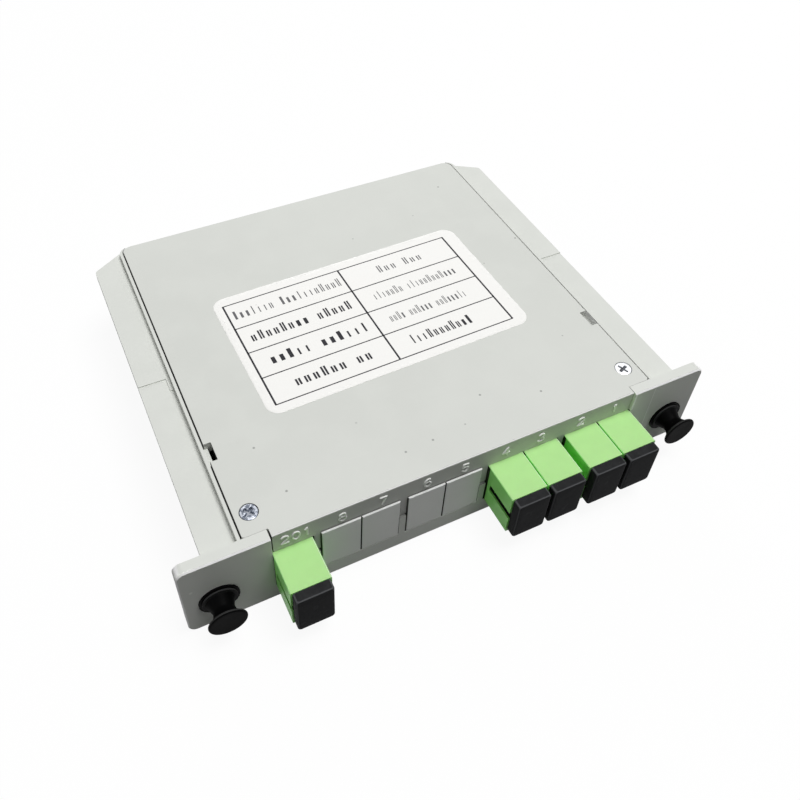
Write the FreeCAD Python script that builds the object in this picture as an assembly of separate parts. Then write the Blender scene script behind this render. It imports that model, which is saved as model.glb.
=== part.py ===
import FreeCAD, Part
import math
import os

# A plug-in fibre splitter cassette: one input and four outputs, nine port windows.
# X runs along the front panel, Y runs from the panel to the back, Z points up.
# Working coordinates have Y = 0 at the front face of the ears and Z = 0 at the underside.
# Every piece is moved along Y when it is written, so that the origin lies under the middle of the box.

V = FreeCAD.Vector

# Front panel and ears
ear_width = 13.55
panel_height = 23.4
panel_thick = 2.6
ear_corner_r = 2.0
edge_r = 0.35
edge_bevel = 0.3

# Tray and cover
tray_side = 6.425
tray_back = 99.8
wall = 1.8
floor_thick = 2.0
rim_thick = 0.7
cover_thick = 1.8
cover_gap = 0.3
cover_front_gap = 0.05
cover_nose_bevel = 0.5
back_corner_r = 2.6
lip_thick = 1.2
lip_drop = 1.3
lip_gap = 0.2
snap_x = 30.0
snap_width = 8.0
snap_reach = 5.0
snap_barb = 0.6
snap_barb_height = 1.4
snap_gap = 0.2

# Side flanges that slide in the chassis
flange_reach = 7.48
flange_thick = 1.8
flange_drop = 1.8
flange_taper = 4.7
flange_end_gap = 0.2
flange_corner_r = 1.2
pad_step = 0.3
pad_front = 51.0
pad_tongue = 4.0
pad_tongue_width = 0.9

# Port windows, from the right: four pairs, then the input
adapter_width = 9.0
adapter_height = 12.5
adapter_centre_z = 11.1
adapter_out = 9.4
adapter_in = 18.0
port_gap = 0.3
pair_gap = 2.0
pair_count = 4
input_gap = 1.85
ports_shift = -0.225
window_gap = 0.1
window_side_gap = 0.05
seam_left_gap = 0.35
seam_right_gap = 0.15
pillar_left_gap = 0.05
pillar_right_gap = 0.4
prong_left_gap = 0.35
prong_right_gap = 0.15
prong_bottom = 11.6
strip_set_back = 0.6
strip_thick = 1.8

# Adapter bodies
collar_front = 2.75
collar_thick = 1.9
collar_rise = 0.7
rib_thick = 1.2
rib_gap = 0.1
housing_side = 0.75
housing_cheek = 1.7
keyway_height = 2.1
keyway_end = -1.2
barrel_bore = 3.4
barrel_width = 4.5
barrel_half = 6.2
web_thick = 1.6
socket_gap = 0.05
arm_thick = 0.8
arm_width = 3.6
arm_reach = 6.6
arm_barb = 0.35
adapter_mid = 4.3
sleeve_bore_r = 1.26
sleeve_r = 1.65
sleeve_half = 5.7
sleeve_slot = 0.5
sleeve_end_gap = 0.1

# Dust caps
cap_side_inset = 0.35
cap_end_inset = 0.25
cap_centre_z = 11.3
cap_thick = 2.3
cap_bevel = 0.35
cap_seat_gap = 0.05
cap_plug_gap = 0.1
cap_plug_height = 6.4
cap_plug_length = 7.3
cap_bore = 5.0
cap_bore_depth = 6.6

# Blank plates
blank_height = 13.1
blank_bottom = 4.9
blank_body_depth = 3.9
blank_wall = 1.2
blank_seat_gap = 0.02

# Push-pull latches
latch_share = 0.45
latch_z = 9.4
latch_hole_r = 3.05
latch_flange_r = 4.45
latch_flange_thick = 0.4
latch_barrel_r = 3.0
latch_barrel_end = 7.4
latch_nose = 1.1
latch_nose_r = 2.6
latch_bore_r = 1.75
latch_fit = 0.05
latch_slot = 0.6
latch_slot_turn = 45.0
latch_slot_front = 4.2
latch_sides = 24
knob_length = 5.65
knob_foot_r = 3.9
knob_neck_r = 2.45
knob_head_r = 4.2
knob_head_thick = 0.45
knob_seat_gap = 0.02

# Cover screws
screw_inset = 4.35
screw_y = 7.9
screw_head_r = 2.0
screw_head_gap = 0.08
screw_head_depth = 0.9
screw_shank_r = 1.0
screw_hole_r = 1.15
screw_length = 9.0
screw_end_gap = 0.5
shank_sides = 8
boss_r = 2.15
cross_width = 0.55
cross_length = 2.3
cross_depth = 0.6

# Side notches of the cover
notch_front = 22.9
notch_length = 5.0
notch_width = 1.75

# Label
label_width = 70.4
label_depth = 40.8
label_thick = 0.12
label_x = 0.35
label_y = 50.2
label_turn = 1.4
label_corner_r = 3.4

# Fibre connectors behind the adapters
plug_front = 5.4
plug_gap = 0.15
plug_height = 6.4
grip_front = 18.3
grip_back = 27.0
grip_inset = 0.3
grip_height = 9.0
grip_bevel = 0.8
groove_count = 3
groove_start = 2.4
groove_pitch = 1.6
groove_depth = 0.3
groove_inset = 1.5
plug_bore_gap = 0.15
ferrule_r = 1.25
ferrule_back = 15.0
ferrule_flange_r = 2.2
ferrule_flange_sides = 6
ferrule_flange = 2.4
ferrule_tip_angle = 8.0
ferrule_gap = 0.1
ferrule_sides = 12
bore_sides = 8
boot_length = 16.0
boot_front_width = 5.2
boot_end_width = 2.0
boot_bevel = 0.55
boot_plug_width = 3.6
boot_plug_length = 3.0

# Splitter module
module_length = 60.0
module_width = 7.0
module_height = 4.0
module_wall = 0.4
module_bevel = 0.6
module_gap_back = 1.5
module_room_gap = 1.0
module_end_fill = 3.0
chip_length = 24.0
chip_width = 2.5
chip_height = 2.0
chip_block = 5.0
chip_block_rise = 0.4
cradle_thick = 1.2
cradle_length = 6.0
cradle_x = 20.0
cradle_gap = 0.1

# Pigtails and their guides
fibre_r = 0.45
fibre_sides = 4
lane_pitch = 1.2
course_side_gap = 3.0
course_front = 30.0
course_left = -37.5
course_inner_gap = 12.0
course_rise = 5.0
course_over = 2.1
input_side_gap = 3.65
input_front = 50.0
guide_gap = 0.25
guide_wall = 1.2
guide_top = 7.4
guide_back_top = 10.6
lane_bend = 11.5
turn_bend = 14.0
ramp_bend = 16.0
short_ramp_bend = 8.0
rise_start = 49.0
rise_end = 65.0
climb_end = 53.5
drop_start = 64.5
drop_end = 78.5

# Row frame: the origin lies under the middle of the whole box
front_reach = adapter_out + cap_seat_gap + cap_thick
row_shift = (front_reach - tray_back) / 2

# Places that follow from the sizes above
port_pitch = adapter_width + port_gap
pair_half = adapter_width + port_gap / 2
pair_pitch = 2 * pair_half + pair_gap
ports_width = adapter_width + input_gap + pair_count * pair_pitch - pair_gap
tongue_left = ports_shift - ports_width / 2
tongue_right = ports_shift + ports_width / 2
first_pair_x = tongue_right - pair_half
input_x = tongue_left + adapter_width / 2
tray_half_width = ports_width / 2 + tray_side
half_panel = tray_half_width + ear_width
latch_x = tray_half_width + latch_share * ear_width
screw_x = tray_half_width - screw_inset
socket_width = adapter_width - 2 * housing_side
socket_height = adapter_height - 2 * housing_cheek
cap_width = adapter_width - 2 * cap_side_inset
cap_height = adapter_height - 2 * cap_end_inset
cap_plug_width = socket_width - 2 * cap_plug_gap
plug_width = socket_width - 2 * plug_gap
grip_width = adapter_width - 2 * grip_inset
cover_under = panel_height - cover_thick
cover_half = tray_half_width - rim_thick - cover_gap
inner_half = tray_half_width - wall
inner_back = tray_back - wall
flange_top = panel_height - flange_drop
window_bottom = adapter_centre_z - adapter_height / 2
window_top = adapter_centre_z + adapter_height / 2 + window_gap
cover_front = panel_thick + cover_front_gap
module_y = inner_back - module_gap_back - module_width / 2
module_z = floor_thick + module_height / 2
boot_end = grip_back + boot_length


def block(x0, x1, y0, y1, z0, z1):
    """A box between two corners."""
    return Part.makeBox(x1 - x0, y1 - y0, z1 - z0, V(x0, y0, z0))


def post(x, y, radius, z0, z1):
    """An upright cylinder."""
    return Part.makeCylinder(radius, z1 - z0, V(x, y, z0), V(0, 0, 1))


def rod(x, z, radius, y0, y1):
    """A cylinder that lies along Y."""
    return Part.makeCylinder(radius, y1 - y0, V(x, y0, z), V(0, 1, 0))


def joined(first, *others):
    """One solid from several that touch or overlap."""
    return first.fuse(list(others)).removeSplitter()


def edges_where(shape, test):
    """The edges whose both ends and middle pass a test on a point."""
    found = []
    for edge in shape.Edges:
        points = [v.Point for v in edge.Vertexes]
        points.append(edge.valueAt((edge.FirstParameter + edge.LastParameter) / 2))
        if all(test(p) for p in points):
            found.append(edge)
    return found


def edges_along(shape, length):
    """The edges of one length."""
    return [edge for edge in shape.Edges if near(edge.Length, length)]


def near(a, b, slack=0.001):
    """Whether two lengths are the same."""
    return abs(a - b) < slack


def square_rod(x, width, y0, y1):
    """A square bar along Y on the axis of a port."""
    half = width / 2
    return block(x - half, x + half, y0, y1, adapter_centre_z - half, adapter_centre_z + half)


def bore_rod(x, radius, y0, y1):
    """A many-sided bar along Y on the axis of a port, whose flats touch a circle."""
    reach = radius / math.cos(math.pi / bore_sides)
    return sided_bar(bore_sides, reach, V(x, y0, adapter_centre_z), V(0, y1 - y0, 0))


def ferrule_rod(x, radius, y0, y1):
    """A many-sided bar along Y on the axis of a port, whose corners lie on a circle."""
    return sided_bar(ferrule_sides, radius, V(x, y0, adapter_centre_z), V(0, y1 - y0, 0))


def shank_post(x, y, radius, z0, z1):
    """An upright many-sided bar for a screw's shank or its hole."""
    return sided_bar(shank_sides, radius, V(x, y, z0), V(0, 0, z1 - z0))


def sided_bar(sides, radius, start, reach):
    """A bar on a regular polygon, from a start along a vector."""
    heading = V(reach).normalize()
    return Part.Face(regular(sides, radius, start, heading)).extrude(reach)


def latch_ring(x, start_r, end_r, y0, y1):
    """A straight or tapered length of a latch, round its line in flat sides."""
    ends = [
        regular(latch_sides, start_r, V(x, y0, latch_z), V(0, 1, 0)),
        regular(latch_sides, end_r, V(x, y1, latch_z), V(0, 1, 0)),
    ]
    near_ring, far_ring = ([vertex.Point for vertex in end.OrderedVertexes] for end in ends)
    faces = [Part.Face(end) for end in ends]
    for i in range(latch_sides):
        corners = [near_ring[i - 1], near_ring[i], far_ring[i], far_ring[i - 1]]
        faces.append(Part.Face(Part.makePolygon(corners + corners[:1])))
    ring = Part.Solid(Part.Shell(faces))
    return ring if ring.Volume > 0 else ring.reversed()


def regular(sides, radius, centre, normal):
    """A closed regular polygon around a centre."""
    side = normal.cross(V(0, 0, 1)) if abs(normal.z) < 0.9 else V(1, 0, 0)
    up = normal.cross(side)
    corners = []
    for i in range(sides):
        turn = 2 * math.pi * (i + 0.5) / sides
        corners.append(centre + side * (radius * math.cos(turn)) + up * (radius * math.sin(turn)))
    return Part.makePolygon(corners + corners[:1])


def prism(points, z0, z1):
    """An upright prism on a closed outline of points in the XY plane."""
    corners = [V(x, y, z0) for x, y in points]
    face = Part.Face(Part.makePolygon(corners + corners[:1]))
    return face.extrude(V(0, 0, z1 - z0))


def pair_centres():
    """The X of the middle of each pair of ports, from the right."""
    return [first_pair_x - pair_pitch * i for i in range(pair_count)]


def port_centres():
    """The X of ports 1, 2, 3 and so on, from the right."""
    centres = []
    for x in pair_centres():
        centres += [x + port_pitch / 2, x - port_pitch / 2]
    return centres


def pillar_gaps():
    """The left and right X of each gap between neighbouring groups of windows."""
    pairs = pair_centres()
    gaps = []
    for right, left in zip(pairs, pairs[1:]):
        gaps.append((left + pair_half, right - pair_half))
    gaps.append((input_x + adapter_width / 2, pairs[-1] - pair_half))
    return gaps


def screw_places():
    """The two cover screws."""
    return [(-screw_x, screw_y), (screw_x, screw_y)]


def latch_places():
    """The two latches by name."""
    return {"left": -latch_x, "right": latch_x}


def ear_plate():
    """The front panel with rounded ends and soft front edges."""
    plate = block(-half_panel, half_panel, 0, panel_thick, 0, panel_height)
    ends = edges_along(plate, panel_thick)
    plate = plate.makeFillet(ear_corner_r, ends)
    front = edges_where(plate, lambda p: near(p.y, 0))
    return plate.makeChamfer(edge_bevel, front)


def tray_shell():
    """Floor and walls, with a ledge for the cover inside a thin rim."""
    outer = block(-tray_half_width, tray_half_width, panel_thick / 2, tray_back, 0, panel_height)
    corners = edges_where(outer, lambda p: near(abs(p.x), tray_half_width) and near(p.y, tray_back))
    outer = outer.makeFillet(back_corner_r, corners)
    under = edges_where(outer, lambda p: near(p.z, 0) and p.y > panel_thick)
    outer = outer.makeChamfer(edge_bevel, under)
    hollow = block(-inner_half, inner_half, panel_thick, inner_back, floor_thick, panel_height)
    corners = edges_where(hollow, lambda p: near(abs(p.x), inner_half) and near(p.y, inner_back))
    hollow = hollow.makeFillet(back_corner_r - wall, corners)
    rebate_half = cover_half + cover_gap
    rebate_back = tray_back + cover_gap
    rebate = block(-rebate_half, rebate_half, panel_thick, rebate_back, cover_under, panel_height)
    corners = edges_where(rebate, lambda p: near(abs(p.x), rebate_half) and near(p.y, rebate_back))
    rebate = rebate.makeFillet(back_corner_r, corners)
    return outer.cut([hollow, rebate] + snap_recesses())


def snap_recesses():
    """Blind pockets in the back wall for the barbs of the cover's two snaps."""
    pockets = []
    half = snap_width / 2 + snap_gap
    z0 = cover_under - snap_reach - snap_gap
    z1 = z0 + snap_barb_height + 2 * snap_gap
    for x in (-snap_x, snap_x):
        pockets.append(block(x - half, x + half, inner_back - 0.5, inner_back + snap_barb, z0, z1))
    return pockets


def side_flange(side):
    """A guide flange with a tapered back end and a slightly higher rear half."""
    inner = side * (tray_half_width - rim_thick / 2)
    root = side * tray_half_width
    outer = root + side * flange_reach
    end = tray_back - flange_end_gap
    taper_start = end - flange_taper
    outline = [
        (inner, panel_thick / 2),
        (outer, panel_thick / 2),
        (outer, taper_start),
        (root, end),
        (inner, end),
    ]
    plate = prism(outline, flange_top - flange_thick, flange_top)
    pad_outline = [
        (inner, pad_front - pad_tongue),
        (root + side * pad_tongue_width, pad_front - pad_tongue),
        (root + side * pad_tongue_width, pad_front),
        (outer, pad_front),
        (outer, taper_start),
        (root, end),
        (inner, end),
    ]
    pad = prism(pad_outline, flange_top - flange_thick / 2, flange_top + pad_step)
    flange = joined(plate, pad)
    corner = edges_where(flange, lambda p: near(p.x, outer) and near(p.y, taper_start))
    return flange.makeFillet(flange_corner_r, corner)


def port_front():
    """The cut for the nine windows and their bay, with the lower halves of the pillars left standing."""
    left_side = tongue_left - window_side_gap
    right_side = tongue_right + window_side_gap
    opening = block(left_side, right_side, -1, adapter_in, window_bottom, panel_height + 1)
    pillars = []
    for left, right in pillar_gaps():
        x0 = left + pillar_left_gap
        x1 = right - pillar_right_gap
        pillars.append(block(x0, x1, -1, panel_thick + 1, 0, prong_bottom))
    return opening.cut(pillars)


def tray_front_rib():
    """A low rib on the floor that keeps the adapters' collars against the panel."""
    y0 = collar_front + collar_thick + rib_gap
    return block(tongue_left, tongue_right, y0, y0 + rib_thick, floor_thick / 2, window_bottom)


def quarter_guide(x, y, side_x, side_y, radius, top):
    """A quarter of a round wall that the fibres run around."""
    core = post(x, y, radius - guide_wall, floor_thick / 2, top)
    ring = post(x, y, radius, floor_thick / 2, top).cut(core)
    x0, x1 = sorted((x, x + side_x * radius))
    y0, y1 = sorted((y, y + side_y * radius))
    return ring.common(block(x0, x1, y0, y1, floor_thick / 2, top))


def module_cradles():
    """Two pairs of low clips that hold the splitter tube on the floor."""
    clips = []
    top = floor_thick + module_height * 0.8
    for x in (-cradle_x, cradle_x):
        for side in (-1, 1):
            y = module_y + side * (module_width / 2 + cradle_gap)
            y0, y1 = sorted((y, y + side * cradle_thick))
            clips.append(block(x - cradle_length / 2, x + cradle_length / 2, y0, y1, floor_thick / 2, top))
    return clips


def lane_bend_r(lane):
    """The bend radius of an output fibre in the shared corners."""
    return lane_bend + (len(output_ports()) - 1 - lane) * lane_pitch


def lane_edges(lane):
    """Right, front, left and back lines of an output fibre's course, and its inner back line."""
    step = lane * lane_pitch
    right = inner_half - course_side_gap - step
    front = course_front + step
    left = course_left + step
    back = module_y + (len(output_ports()) - 1) / 2 * lane_pitch - step
    inner = inner_back - course_inner_gap - step
    return right, front, left, back, inner


def output_ports():
    """The numbers of the ports that carry an adapter."""
    return [1, 2, 3, 4]


def blank_ports():
    """The numbers of the ports that are closed with a blank plate."""
    return [5, 6, 7, 8]


def port_x(port):
    """The X of a port by its number; 0 is the input."""
    if port == 0:
        return input_x
    return port_centres()[port - 1]


def port_name(port):
    """The name of a port in its pieces' names."""
    return "input" if port == 0 else f"port_{port}"


def module_room():
    """The space that the splitter tube needs, where no guide may stand."""
    half_x = module_length / 2 + module_room_gap
    half_y = module_width / 2 + cradle_gap
    return block(-half_x, half_x, module_y - half_y, module_y + half_y, floor_thick, panel_height)


def fibre_guides():
    """Quarter walls in the four corners of the output fibres' course, clear of the splitter."""
    last = len(output_ports()) - 1
    right, front, left, back, inner = lane_edges(last)
    radius = lane_bend - fibre_r - guide_gap
    guides = [
        quarter_guide(right - lane_bend, back - lane_bend, 1, 1, radius, guide_top),
        quarter_guide(right - lane_bend, front + lane_bend, 1, -1, radius, guide_top),
        quarter_guide(left + lane_bend, front + lane_bend, -1, -1, radius, guide_top),
        quarter_guide(left + lane_bend, inner - lane_bend, -1, 1, radius, guide_back_top),
    ]
    return [guide.cut(module_room()) for guide in guides]


def screw_bosses():
    """Posts under the cover screws, joined to the side walls."""
    bosses = []
    for x, y in screw_places():
        side = math.copysign(1, x)
        web = sorted((x, side * (inner_half + wall / 2)))
        bosses.append(post(x, y, boss_r, floor_thick / 2, cover_under))
        bosses.append(block(web[0], web[1], y - wall / 2, y + wall / 2, floor_thick / 2, cover_under))
    return bosses


def base_tray():
    """The moulded base: panel, tray, flanges, pillars, bosses, clips and guides in one piece."""
    body = joined(ear_plate(), tray_shell(), side_flange(-1), side_flange(1))
    inside = [tray_front_rib()] + module_cradles() + fibre_guides() + screw_bosses()
    body = joined(body, *inside)
    cuts = [port_front()]
    for x in latch_places().values():
        cuts.append(rod(x, latch_z, latch_hole_r, -1, panel_thick + 1))
    for x, y in screw_places():
        cuts.append(shank_post(x, y, screw_shank_r, cover_under - screw_length, panel_height))
    return body.cut(cuts).removeSplitter()


def cover_plate():
    """The flat plate of the cover with round back corners and a tongue that reaches the panel."""
    plate = block(-cover_half, cover_half, cover_front, tray_back, cover_under, panel_height)
    corners = edges_where(plate, lambda p: near(abs(p.x), cover_half) and near(p.y, tray_back))
    plate = plate.makeFillet(back_corner_r - cover_gap, corners)
    corners = edges_where(plate, lambda p: near(abs(p.x), cover_half) and near(p.y, cover_front))
    plate = plate.makeChamfer(cover_nose_bevel, corners)
    left = tongue_left - window_side_gap + seam_left_gap
    right = tongue_right + window_side_gap - seam_right_gap
    tongue = block(left, right, strip_set_back, cover_front + 1, cover_under, panel_height)
    strip = block(left, right, strip_set_back, strip_set_back + strip_thick, window_top, panel_height)
    plate = joined(plate, tongue, strip)
    nose = edges_where(plate, lambda p: near(p.y, strip_set_back) and near(p.z, panel_height))
    return plate.makeFillet(edge_r, nose)


def cover_prongs():
    """Fingers under the strip that close the pillars between the groups of windows."""
    prongs = []
    for left, right in pillar_gaps():
        x0 = left + prong_left_gap
        x1 = right - prong_right_gap
        z0 = prong_bottom + window_gap
        prongs.append(block(x0, x1, strip_set_back, strip_set_back + strip_thick, z0, cover_under))
    return prongs


def cover_lip():
    """A locating lip under the cover, inside the side and back walls."""
    half = inner_half - lip_gap
    y0 = screw_y + boss_r + 1
    y1 = inner_back - lip_gap
    z0 = cover_under - lip_drop
    frame = block(-half, half, y0, y1, z0, cover_under)
    corners = edges_where(frame, lambda p: near(abs(p.x), half) and near(p.y, y1))
    frame = frame.makeFillet(back_corner_r - wall, corners)
    inside = half - lip_thick
    return frame.cut(block(-inside, inside, y0 - 1, y1 - lip_thick, z0 - 1, cover_under + 1))


def cover_snaps():
    """Two barbed tabs that catch in the back wall."""
    y1 = inner_back - lip_gap
    z0 = cover_under - snap_reach
    root = y1 - lip_thick / 2
    top = z0 + snap_barb_height
    barb = [(root, z0), (y1 + snap_barb, top), (root, top)]
    tabs = []
    for x in (-snap_x, snap_x):
        x0 = x - snap_width / 2
        x1 = x + snap_width / 2
        tabs.append(block(x0, x1, y1 - lip_thick, y1, z0, cover_under))
        corners = [V(x0, y, z) for y, z in barb]
        tabs.append(Part.Face(Part.makePolygon(corners + corners[:1])).extrude(V(snap_width, 0, 0)))
    return tabs


def cover_rib():
    """A rib under the cover that holds the adapters and blanks down behind their collars."""
    y0 = collar_front + collar_thick + rib_gap
    x0 = tongue_left + window_gap
    x1 = tongue_right - window_gap
    return block(x0, x1, y0, y0 + rib_thick, window_top, cover_under)


def top_cover():
    """The moulded cover: plate, numbered front strip, prongs, lip, rib, notches and screw seats."""
    cover = joined(cover_plate(), cover_lip(), cover_rib(), *cover_prongs(), *cover_snaps())
    cuts = []
    for side in (-1, 1):
        x0, x1 = sorted((side * (cover_half - notch_width), side * (cover_half + 1)))
        y1 = notch_front + notch_length
        cuts.append(block(x0, x1, notch_front, y1, cover_under - lip_drop, panel_height))
    for x, y in screw_places():
        seat = panel_height - screw_head_depth
        cuts.append(shank_post(x, y, screw_hole_r, cover_under - lip_drop, panel_height))
        cuts.append(post(x, y, screw_head_r + screw_head_gap, seat, panel_height))
    return cover.cut(cuts).removeSplitter()


def label():
    """A thin paper label, stuck on slightly turned."""
    half_x = label_width / 2
    half_y = label_depth / 2
    sheet = block(-half_x, half_x, -half_y, half_y, 0, label_thick)
    corners = edges_where(sheet, lambda p: near(abs(p.x), half_x) and near(abs(p.y), half_y))
    sheet = sheet.makeFillet(label_corner_r, corners)
    sheet.rotate(V(0, 0, 0), V(0, 0, 1), label_turn)
    sheet.translate(V(label_x, label_y, panel_height))
    return sheet


def cover_screw(x, y):
    """A small flat-headed screw with a cross recess."""
    under = panel_height - screw_head_depth
    head = post(x, y, screw_head_r, under, panel_height)
    shank = shank_post(x, y, screw_shank_r, cover_under - screw_length + screw_end_gap, under)
    screw = joined(head, shank)
    z0 = panel_height - cross_depth
    half = cross_length / 2
    arm_x = block(x - half, x + half, y - cross_width / 2, y + cross_width / 2, z0, panel_height + 1)
    arm_y = block(x - cross_width / 2, x + cross_width / 2, y - half, y + half, z0, panel_height + 1)
    return screw.cut([arm_x, arm_y])


def cover_screws():
    """Both cover screws in one node."""
    return Part.makeCompound([cover_screw(x, y) for x, y in screw_places()])


def collared_block(x, y0, y1):
    """An adapter-sized block with a collar above and below, behind the panel."""
    half = adapter_width / 2
    z0 = window_bottom
    z1 = window_bottom + adapter_height
    body = block(x - half, x + half, y0, y1, z0, z1)
    back = collar_front + collar_thick
    collar = block(x - half, x + half, collar_front, back, z0 - collar_rise, z1 + collar_rise)
    return joined(body, collar)


def port_blank(x):
    """A snap-in plate that closes an unused window, hollow from behind."""
    half = adapter_width / 2
    top = blank_bottom + blank_height
    plate_back = strip_set_back - blank_seat_gap
    plate = block(x - half, x + half, 0, plate_back, blank_bottom, top)
    front = edges_where(plate, lambda p: near(p.y, 0))
    plate = plate.makeChamfer(edge_bevel / 2, front)
    body = collared_block(x, plate_back, collar_front + blank_body_depth)
    hollow = block(
        x - half + blank_wall,
        x + half - blank_wall,
        blank_wall + strip_set_back,
        collar_front + blank_body_depth + 1,
        window_bottom + blank_wall,
        window_bottom + adapter_height - blank_wall,
    )
    return joined(plate, body).cut(hollow)


def adapter_housing(x):
    """The rectangular outer body of an adapter, open at both ends, with a keyway beside its mouth."""
    body = collared_block(x, -adapter_out, adapter_in)
    long_edges = edges_where(
        body,
        lambda p: near(abs(p.x - x), adapter_width / 2)
        and (near(p.z, window_bottom) or near(p.z, window_bottom + adapter_height))
        and p.y < collar_front + 0.001,
    )
    body = body.makeChamfer(edge_bevel * 0.6, long_edges)
    z0 = adapter_centre_z - socket_height / 2
    z1 = adapter_centre_z + socket_height / 2
    socket = block(x - socket_width / 2, x + socket_width / 2, -adapter_out - 1, adapter_in + 1, z0, z1)
    keyway = block(
        x - adapter_width,
        x,
        -adapter_out - 1,
        keyway_end,
        adapter_centre_z - keyway_height / 2,
        adapter_centre_z + keyway_height / 2,
    )
    return body.cut([socket, keyway])


def hook_arm(x, side, direction):
    """A springy arm with a small barb that grips a connector."""
    height = socket_height / 2 - socket_gap - arm_barb
    z_outer = adapter_centre_z + side * height
    z_inner = z_outer - side * arm_thick
    z0, z1 = sorted((z_inner, z_outer))
    tip = adapter_mid + direction * (web_thick / 2 + arm_reach)
    y0, y1 = sorted((adapter_mid, tip))
    arm = block(x - arm_width / 2, x + arm_width / 2, y0, y1, z0, z1)
    barb_z = sorted((z_outer - side * arm_thick / 2, z_outer + side * arm_barb))
    barb_y = sorted((tip, tip - direction * arm_thick))
    barb = block(x - arm_width / 2, x + arm_width / 2, barb_y[0], barb_y[1], barb_z[0], barb_z[1])
    return joined(arm, barb)


def adapter_hooks(x):
    """The inner piece of an adapter: a web, the sleeve's barrel and two pairs of arms."""
    half_x = socket_width / 2 - socket_gap
    half_z = socket_height / 2 - socket_gap
    web = block(
        x - half_x,
        x + half_x,
        adapter_mid - web_thick / 2,
        adapter_mid + web_thick / 2,
        adapter_centre_z - half_z,
        adapter_centre_z + half_z,
    )
    barrel = square_rod(x, barrel_width, adapter_mid - barrel_half, adapter_mid + barrel_half)
    arms = [hook_arm(x, side, direction) for side in (-1, 1) for direction in (-1, 1)]
    body = joined(web, barrel, *arms)
    pocket = sleeve_half + sleeve_end_gap
    inner = square_rod(x, barrel_bore, adapter_mid - pocket, adapter_mid + pocket)
    through = bore_rod(x, ferrule_r + ferrule_gap, -adapter_out, adapter_in)
    return body.cut([inner, through])


def alignment_sleeve(x):
    """The split ceramic sleeve that lines up two ferrules."""
    y0 = adapter_mid - sleeve_half
    y1 = adapter_mid + sleeve_half
    tube = ferrule_rod(x, sleeve_r, y0, y1).cut(ferrule_rod(x, sleeve_bore_r, y0, y1))
    half = sleeve_slot / 2
    slot = block(x - half, x + half, y0, y1, adapter_centre_z, adapter_centre_z + sleeve_r + 1)
    return tube.cut(slot)


def dust_cap(x):
    """A cap with a bevelled head and a hollow plug that fills the adapter's mouth."""
    back = -adapter_out - cap_seat_gap
    end = back + cap_plug_length
    half_x = cap_width / 2
    z0 = cap_centre_z - cap_height / 2
    head = block(x - half_x, x + half_x, back - cap_thick, back, z0, z0 + cap_height)
    head = head.makeChamfer(cap_bevel, edges_where(head, lambda p: not near(p.y, back)))
    plug = block(
        x - cap_plug_width / 2,
        x + cap_plug_width / 2,
        back - cap_thick / 2,
        end,
        adapter_centre_z - cap_plug_height / 2,
        adapter_centre_z + cap_plug_height / 2,
    )
    plug = plug.makeChamfer(edge_bevel, edges_where(plug, lambda p: near(p.y, end)))
    return joined(head, plug).cut(square_rod(x, cap_bore, end - cap_bore_depth, end))


def plug_body(x):
    """The body of an inner connector: a square front that enters the adapter and a wider grip."""
    half_z = plug_height / 2
    front = block(
        x - plug_width / 2,
        x + plug_width / 2,
        plug_front + web_thick / 2,
        grip_front + 1,
        adapter_centre_z - half_z,
        adapter_centre_z + half_z,
    )
    z0 = adapter_centre_z - grip_height / 2
    z1 = adapter_centre_z + grip_height / 2
    grip = block(x - grip_width / 2, x + grip_width / 2, grip_front, grip_back, z0, z1)
    grip = grip.makeChamfer(grip_bevel, edges_where(grip, lambda p: not near(p.y, grip_front)))
    body = joined(front, grip)
    bores = [
        square_rod(x, barrel_width + 2 * plug_bore_gap, 0, adapter_mid + barrel_half + 1),
        bore_rod(x, ferrule_r + ferrule_gap, 0, ferrule_back),
        square_rod(x, 2 * (ferrule_flange_r + ferrule_gap), ferrule_back - ferrule_gap, grip_back + 1),
    ]
    for i in range(groove_count):
        y = grip_front + groove_start + i * groove_pitch
        for side in (-1, 1):
            x0, x1 = sorted((x + side * (grip_width / 2 - groove_depth), x + side * grip_width))
            bores.append(block(x0, x1, y, y + groove_pitch / 2, z0 + groove_inset, z1 - groove_inset))
    return body.cut(bores)


def ferrule(x):
    """A ceramic ferrule with an angled tip and a six-sided flange."""
    start = V(x, ferrule_back, adapter_centre_z)
    flange = sided_bar(ferrule_flange_sides, ferrule_flange_r, start, V(0, ferrule_flange, 0))
    body = joined(ferrule_rod(x, ferrule_r, adapter_mid, ferrule_back + ferrule_flange / 2), flange)
    reach = 2 * ferrule_flange_r
    z = adapter_centre_z
    wedge = block(x - reach, x + reach, adapter_mid - reach, adapter_mid, z - reach, z + reach)
    wedge.rotate(V(x, adapter_mid, z + ferrule_r), V(1, 0, 0), ferrule_tip_angle)
    return body.cut(wedge)


def boot(x):
    """A tapered bend relief with bevelled edges behind the connector."""
    front = boot_front_width / 2
    back = boot_end_width / 2
    taper = Part.makeWedge(-front, 0, -front, -back, -back, front, boot_length, front, back, back)
    slopes = [edge for edge in taper.Edges if edge.Length > boot_length]
    taper = taper.makeChamfer(boot_bevel, slopes)
    taper.translate(V(x, grip_back, adapter_centre_z))
    plug = square_rod(x, boot_plug_width, grip_back - boot_plug_length, grip_back + boot_plug_length)
    return joined(taper, plug)


def splitter_tube():
    """The steel tube of the splitter, open at both ends."""
    half = module_length / 2
    y0 = module_y - module_width / 2
    outer = block(-half, half, y0, y0 + module_width, floor_thick, floor_thick + module_height)
    outer = outer.makeChamfer(module_bevel, edges_along(outer, module_length))
    inner = block(
        -half,
        half,
        y0 + module_wall,
        y0 + module_width - module_wall,
        floor_thick + module_wall,
        floor_thick + module_height - module_wall,
    )
    inner = inner.makeChamfer(module_bevel - module_wall / 2, edges_along(inner, module_length))
    return outer.cut(inner)


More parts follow.
